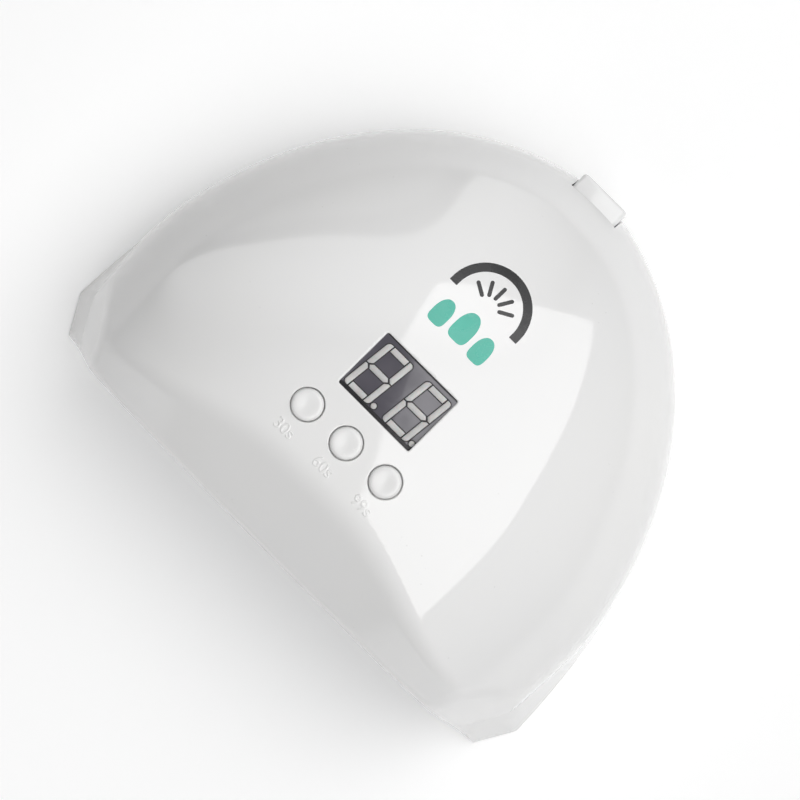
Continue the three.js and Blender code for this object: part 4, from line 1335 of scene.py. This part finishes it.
# screws: a flat head with a cross recess, thread as shallow rings; the name of their pieces, height
# of the head and radius of the shank go by the start of the node's name
thread = {"pitch": 0.9, "depth": 0.16, "end": 1.0, "recess": 0.42, "recessDepth": 0.7,
          "armSoft": 0.24, "arm": 0.55, "recessTo": 0.62, "flat": 0.9}  # the last three as shares of the head
screws = {"base_screw": ("baseScrew", 1.6, 1.25), "reflector_screw": ("reflectorScrew", 1.4, 1.0)}


def screwParts(headRadius, headHigh, shankRadius, length):
    # head down: the recess is cut by raising the points that lie near the arms of a cross
    turn = np.linspace(0, 2 * math.pi, 97)
    flat, reach = thread["flat"] * headRadius, thread["arm"] * headRadius
    recess = thread["recessTo"] * headRadius
    radii = np.concatenate([np.linspace(0, recess, 22), np.linspace(recess, flat, 8)[1:]])
    x, y = radii[:, None] * np.cos(turn), radii[:, None] * np.sin(turn)
    arm = np.minimum(np.maximum(np.abs(x) - reach, np.abs(y) - thread["recess"]),
                     np.maximum(np.abs(y) - reach, np.abs(x) - thread["recess"]))
    sunk = thread["recessDepth"] * np.clip(0.5 - arm / thread["armSoft"], 0, 1)
    face = np.stack([x, y, sunk], -1).reshape(-1, 3)
    faces = gridFaces(len(radii), len(turn))[:, ::-1]
    angle = np.linspace(0, math.pi / 2, 6)[1:]
    roll = np.stack([flat + (headRadius - flat) * np.sin(angle), 0.25 * (1 - np.cos(angle))], 1)
    turns = np.arange(headHigh + 0.3, length - 1.2, thread["pitch"] / 4)
    wave = shankRadius - thread["depth"] * (1 + np.cos(np.arange(len(turns)) * math.pi / 2)) / 2
    profile = np.concatenate([[[flat, 0]], roll, [[shankRadius, headHigh]], np.stack([wave, turns], 1),
                              [[shankRadius, length - thread["end"]], [0, length]]])
    return [(face, faces, softNormals(face, faces)), *turnedPart(profile, 96)]


def makeScrews():
    for start, (name, headHigh, shankRadius) in screws.items():
        for node in nodesFrom(start):
            low, high = nodeBox(node)
            middle = (low + high) / 2
            parts = screwParts((high[0] - low[0]) / 2, headHigh, shankRadius, high[2] - low[2])
            turnedPiece(start, name, node, parts, (middle[0], middle[1], low[2]), "screwSteel")


foot = {"radius": 5.5, "edge": 0.6, "dimple": 2.4, "dimpleDeep": 0.35,
        "grooves": (3.2, 4.3), "grooveDeep": 0.22, "grooveWide": 0.16}


def makeFeet():
    # a disc with a rolled lower edge, a dimple in the middle and two shallow grooves, each a bell
    # curve in the radius
    r, edge = foot["radius"], foot["edge"]
    out = np.linspace(0, r - edge, 60)
    under = foot["dimpleDeep"] * np.clip(1 - (out / foot["dimple"]) ** 2, 0, 1)
    for groove in foot["grooves"]:
        under = under + foot["grooveDeep"] * np.exp(-((out - groove) / foot["grooveWide"]) ** 2)
    angle = np.linspace(0, math.pi / 2, 8)[1:]
    roll = np.stack([r - edge + edge * np.sin(angle), edge * (1 - np.cos(angle))], 1)
    for node in nodesFrom("rubber_foot"):
        low, high = nodeBox(node)
        middle = (low + high) / 2
        profile = np.concatenate([np.stack([out, under], 1), roll, [[r, high[2]], [0, high[2]]]])
        turnedPiece("rubber_foot", "rubberFoot", node, turnedPart(profile, 72), (middle[0], middle[1], 0),
                    "footRubber")


# LEDs: a domed lens over a straight barrel on a wider rim, in the frame of their facet
led = {"barrel": 2.4, "rim": 2.65, "rimHigh": 1.4, "rimEdge": 0.1, "reach": 4.9, "middle": 2.45,
       "topFrom": 39.0, "backFrom": 10.0}  # how high the top ones lie, how far back the back ones
facets = {"top": (0, 0, 1), "left": (-1, 0, 1), "right": (1, 0, 1), "back": (0, 1, 1)}


def facetOf(centre):
    if centre[2] > led["topFrom"]:
        return facets["top"]
    if centre[1] > led["backFrom"]:
        return facets["back"]
    return facets["left" if centre[0] < 0 else "right"]


def makeLeds():
    barrel, rim, low, edge = (led[key] for key in ("barrel", "rim", "rimHigh", "rimEdge"))
    angle = np.linspace(0, math.pi / 2, 13)
    tip = led["reach"] - barrel
    dome = np.stack([barrel * np.sin(angle), -led["reach"] + tip * (1 - np.cos(angle))], 1)
    base = [[barrel, -low], [rim - edge, -low], [rim, -low + edge], [rim, 0], [0, 0]]
    profile = np.concatenate([dome, base])
    parts = turnedPart(profile, 48)
    for node in nodesFrom("uv_led"):
        centre = sum(nodeBox(node)) / 2
        out = Vector(facetOf(centre)).normalized()
        turn = Vector((0, 0, 1)).rotation_difference(out).to_matrix().to_4x4()
        matrix = np.array(Matrix.Translation(Vector(centre) + out * led["middle"]) @ turn)
        mesh = makeMesh("led" + node[-2:], movedParts(parts, matrix))
        addPiece(mesh, "ledLens", replaces=(node,))


# nodes kept as they are, each with the finish and the slot it takes
kept = {
    "jack_pin": ("pinBrass", "pin_brass"),
    "board_screw": ("screwSteel", "screw_steel"),
    "capacitor": ("capacitorSleeve", "capacitor_blue"),
    "switch_plunger": ("blackPlastic", "black_plastic"),
    "lead_left": ("leadRed", "lead_red"), "lead_right": ("leadRed", "lead_red"),
    "lead_top": ("leadRed", "lead_red"), "lead_back": ("leadRed", "lead_red"),
    "lead_power": ("leadBlack", "lead_black"),
}


def finishKept():
    for start, (finish, slot) in kept.items():
        for node in nodesFrom(start):
            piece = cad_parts[node]
            piece.data.materials.clear()
            piece.data.materials.append(materials[finish])


shellMesh = makeMesh("shell", shellParts())
addPiece(shellMesh, "shellPlastic", replaces=("outer_shell",))
print("shell:", len(shellMesh.polygons), "faces")
makeDisplay()
makeCaps()
makeLabels()
makeMark()
print("panel done")
for name, look in softened.items():
    refined(name, *look)
makeCollar()
makeScrews()
makeFeet()
makeLeds()
finishKept()
print("other pieces done")
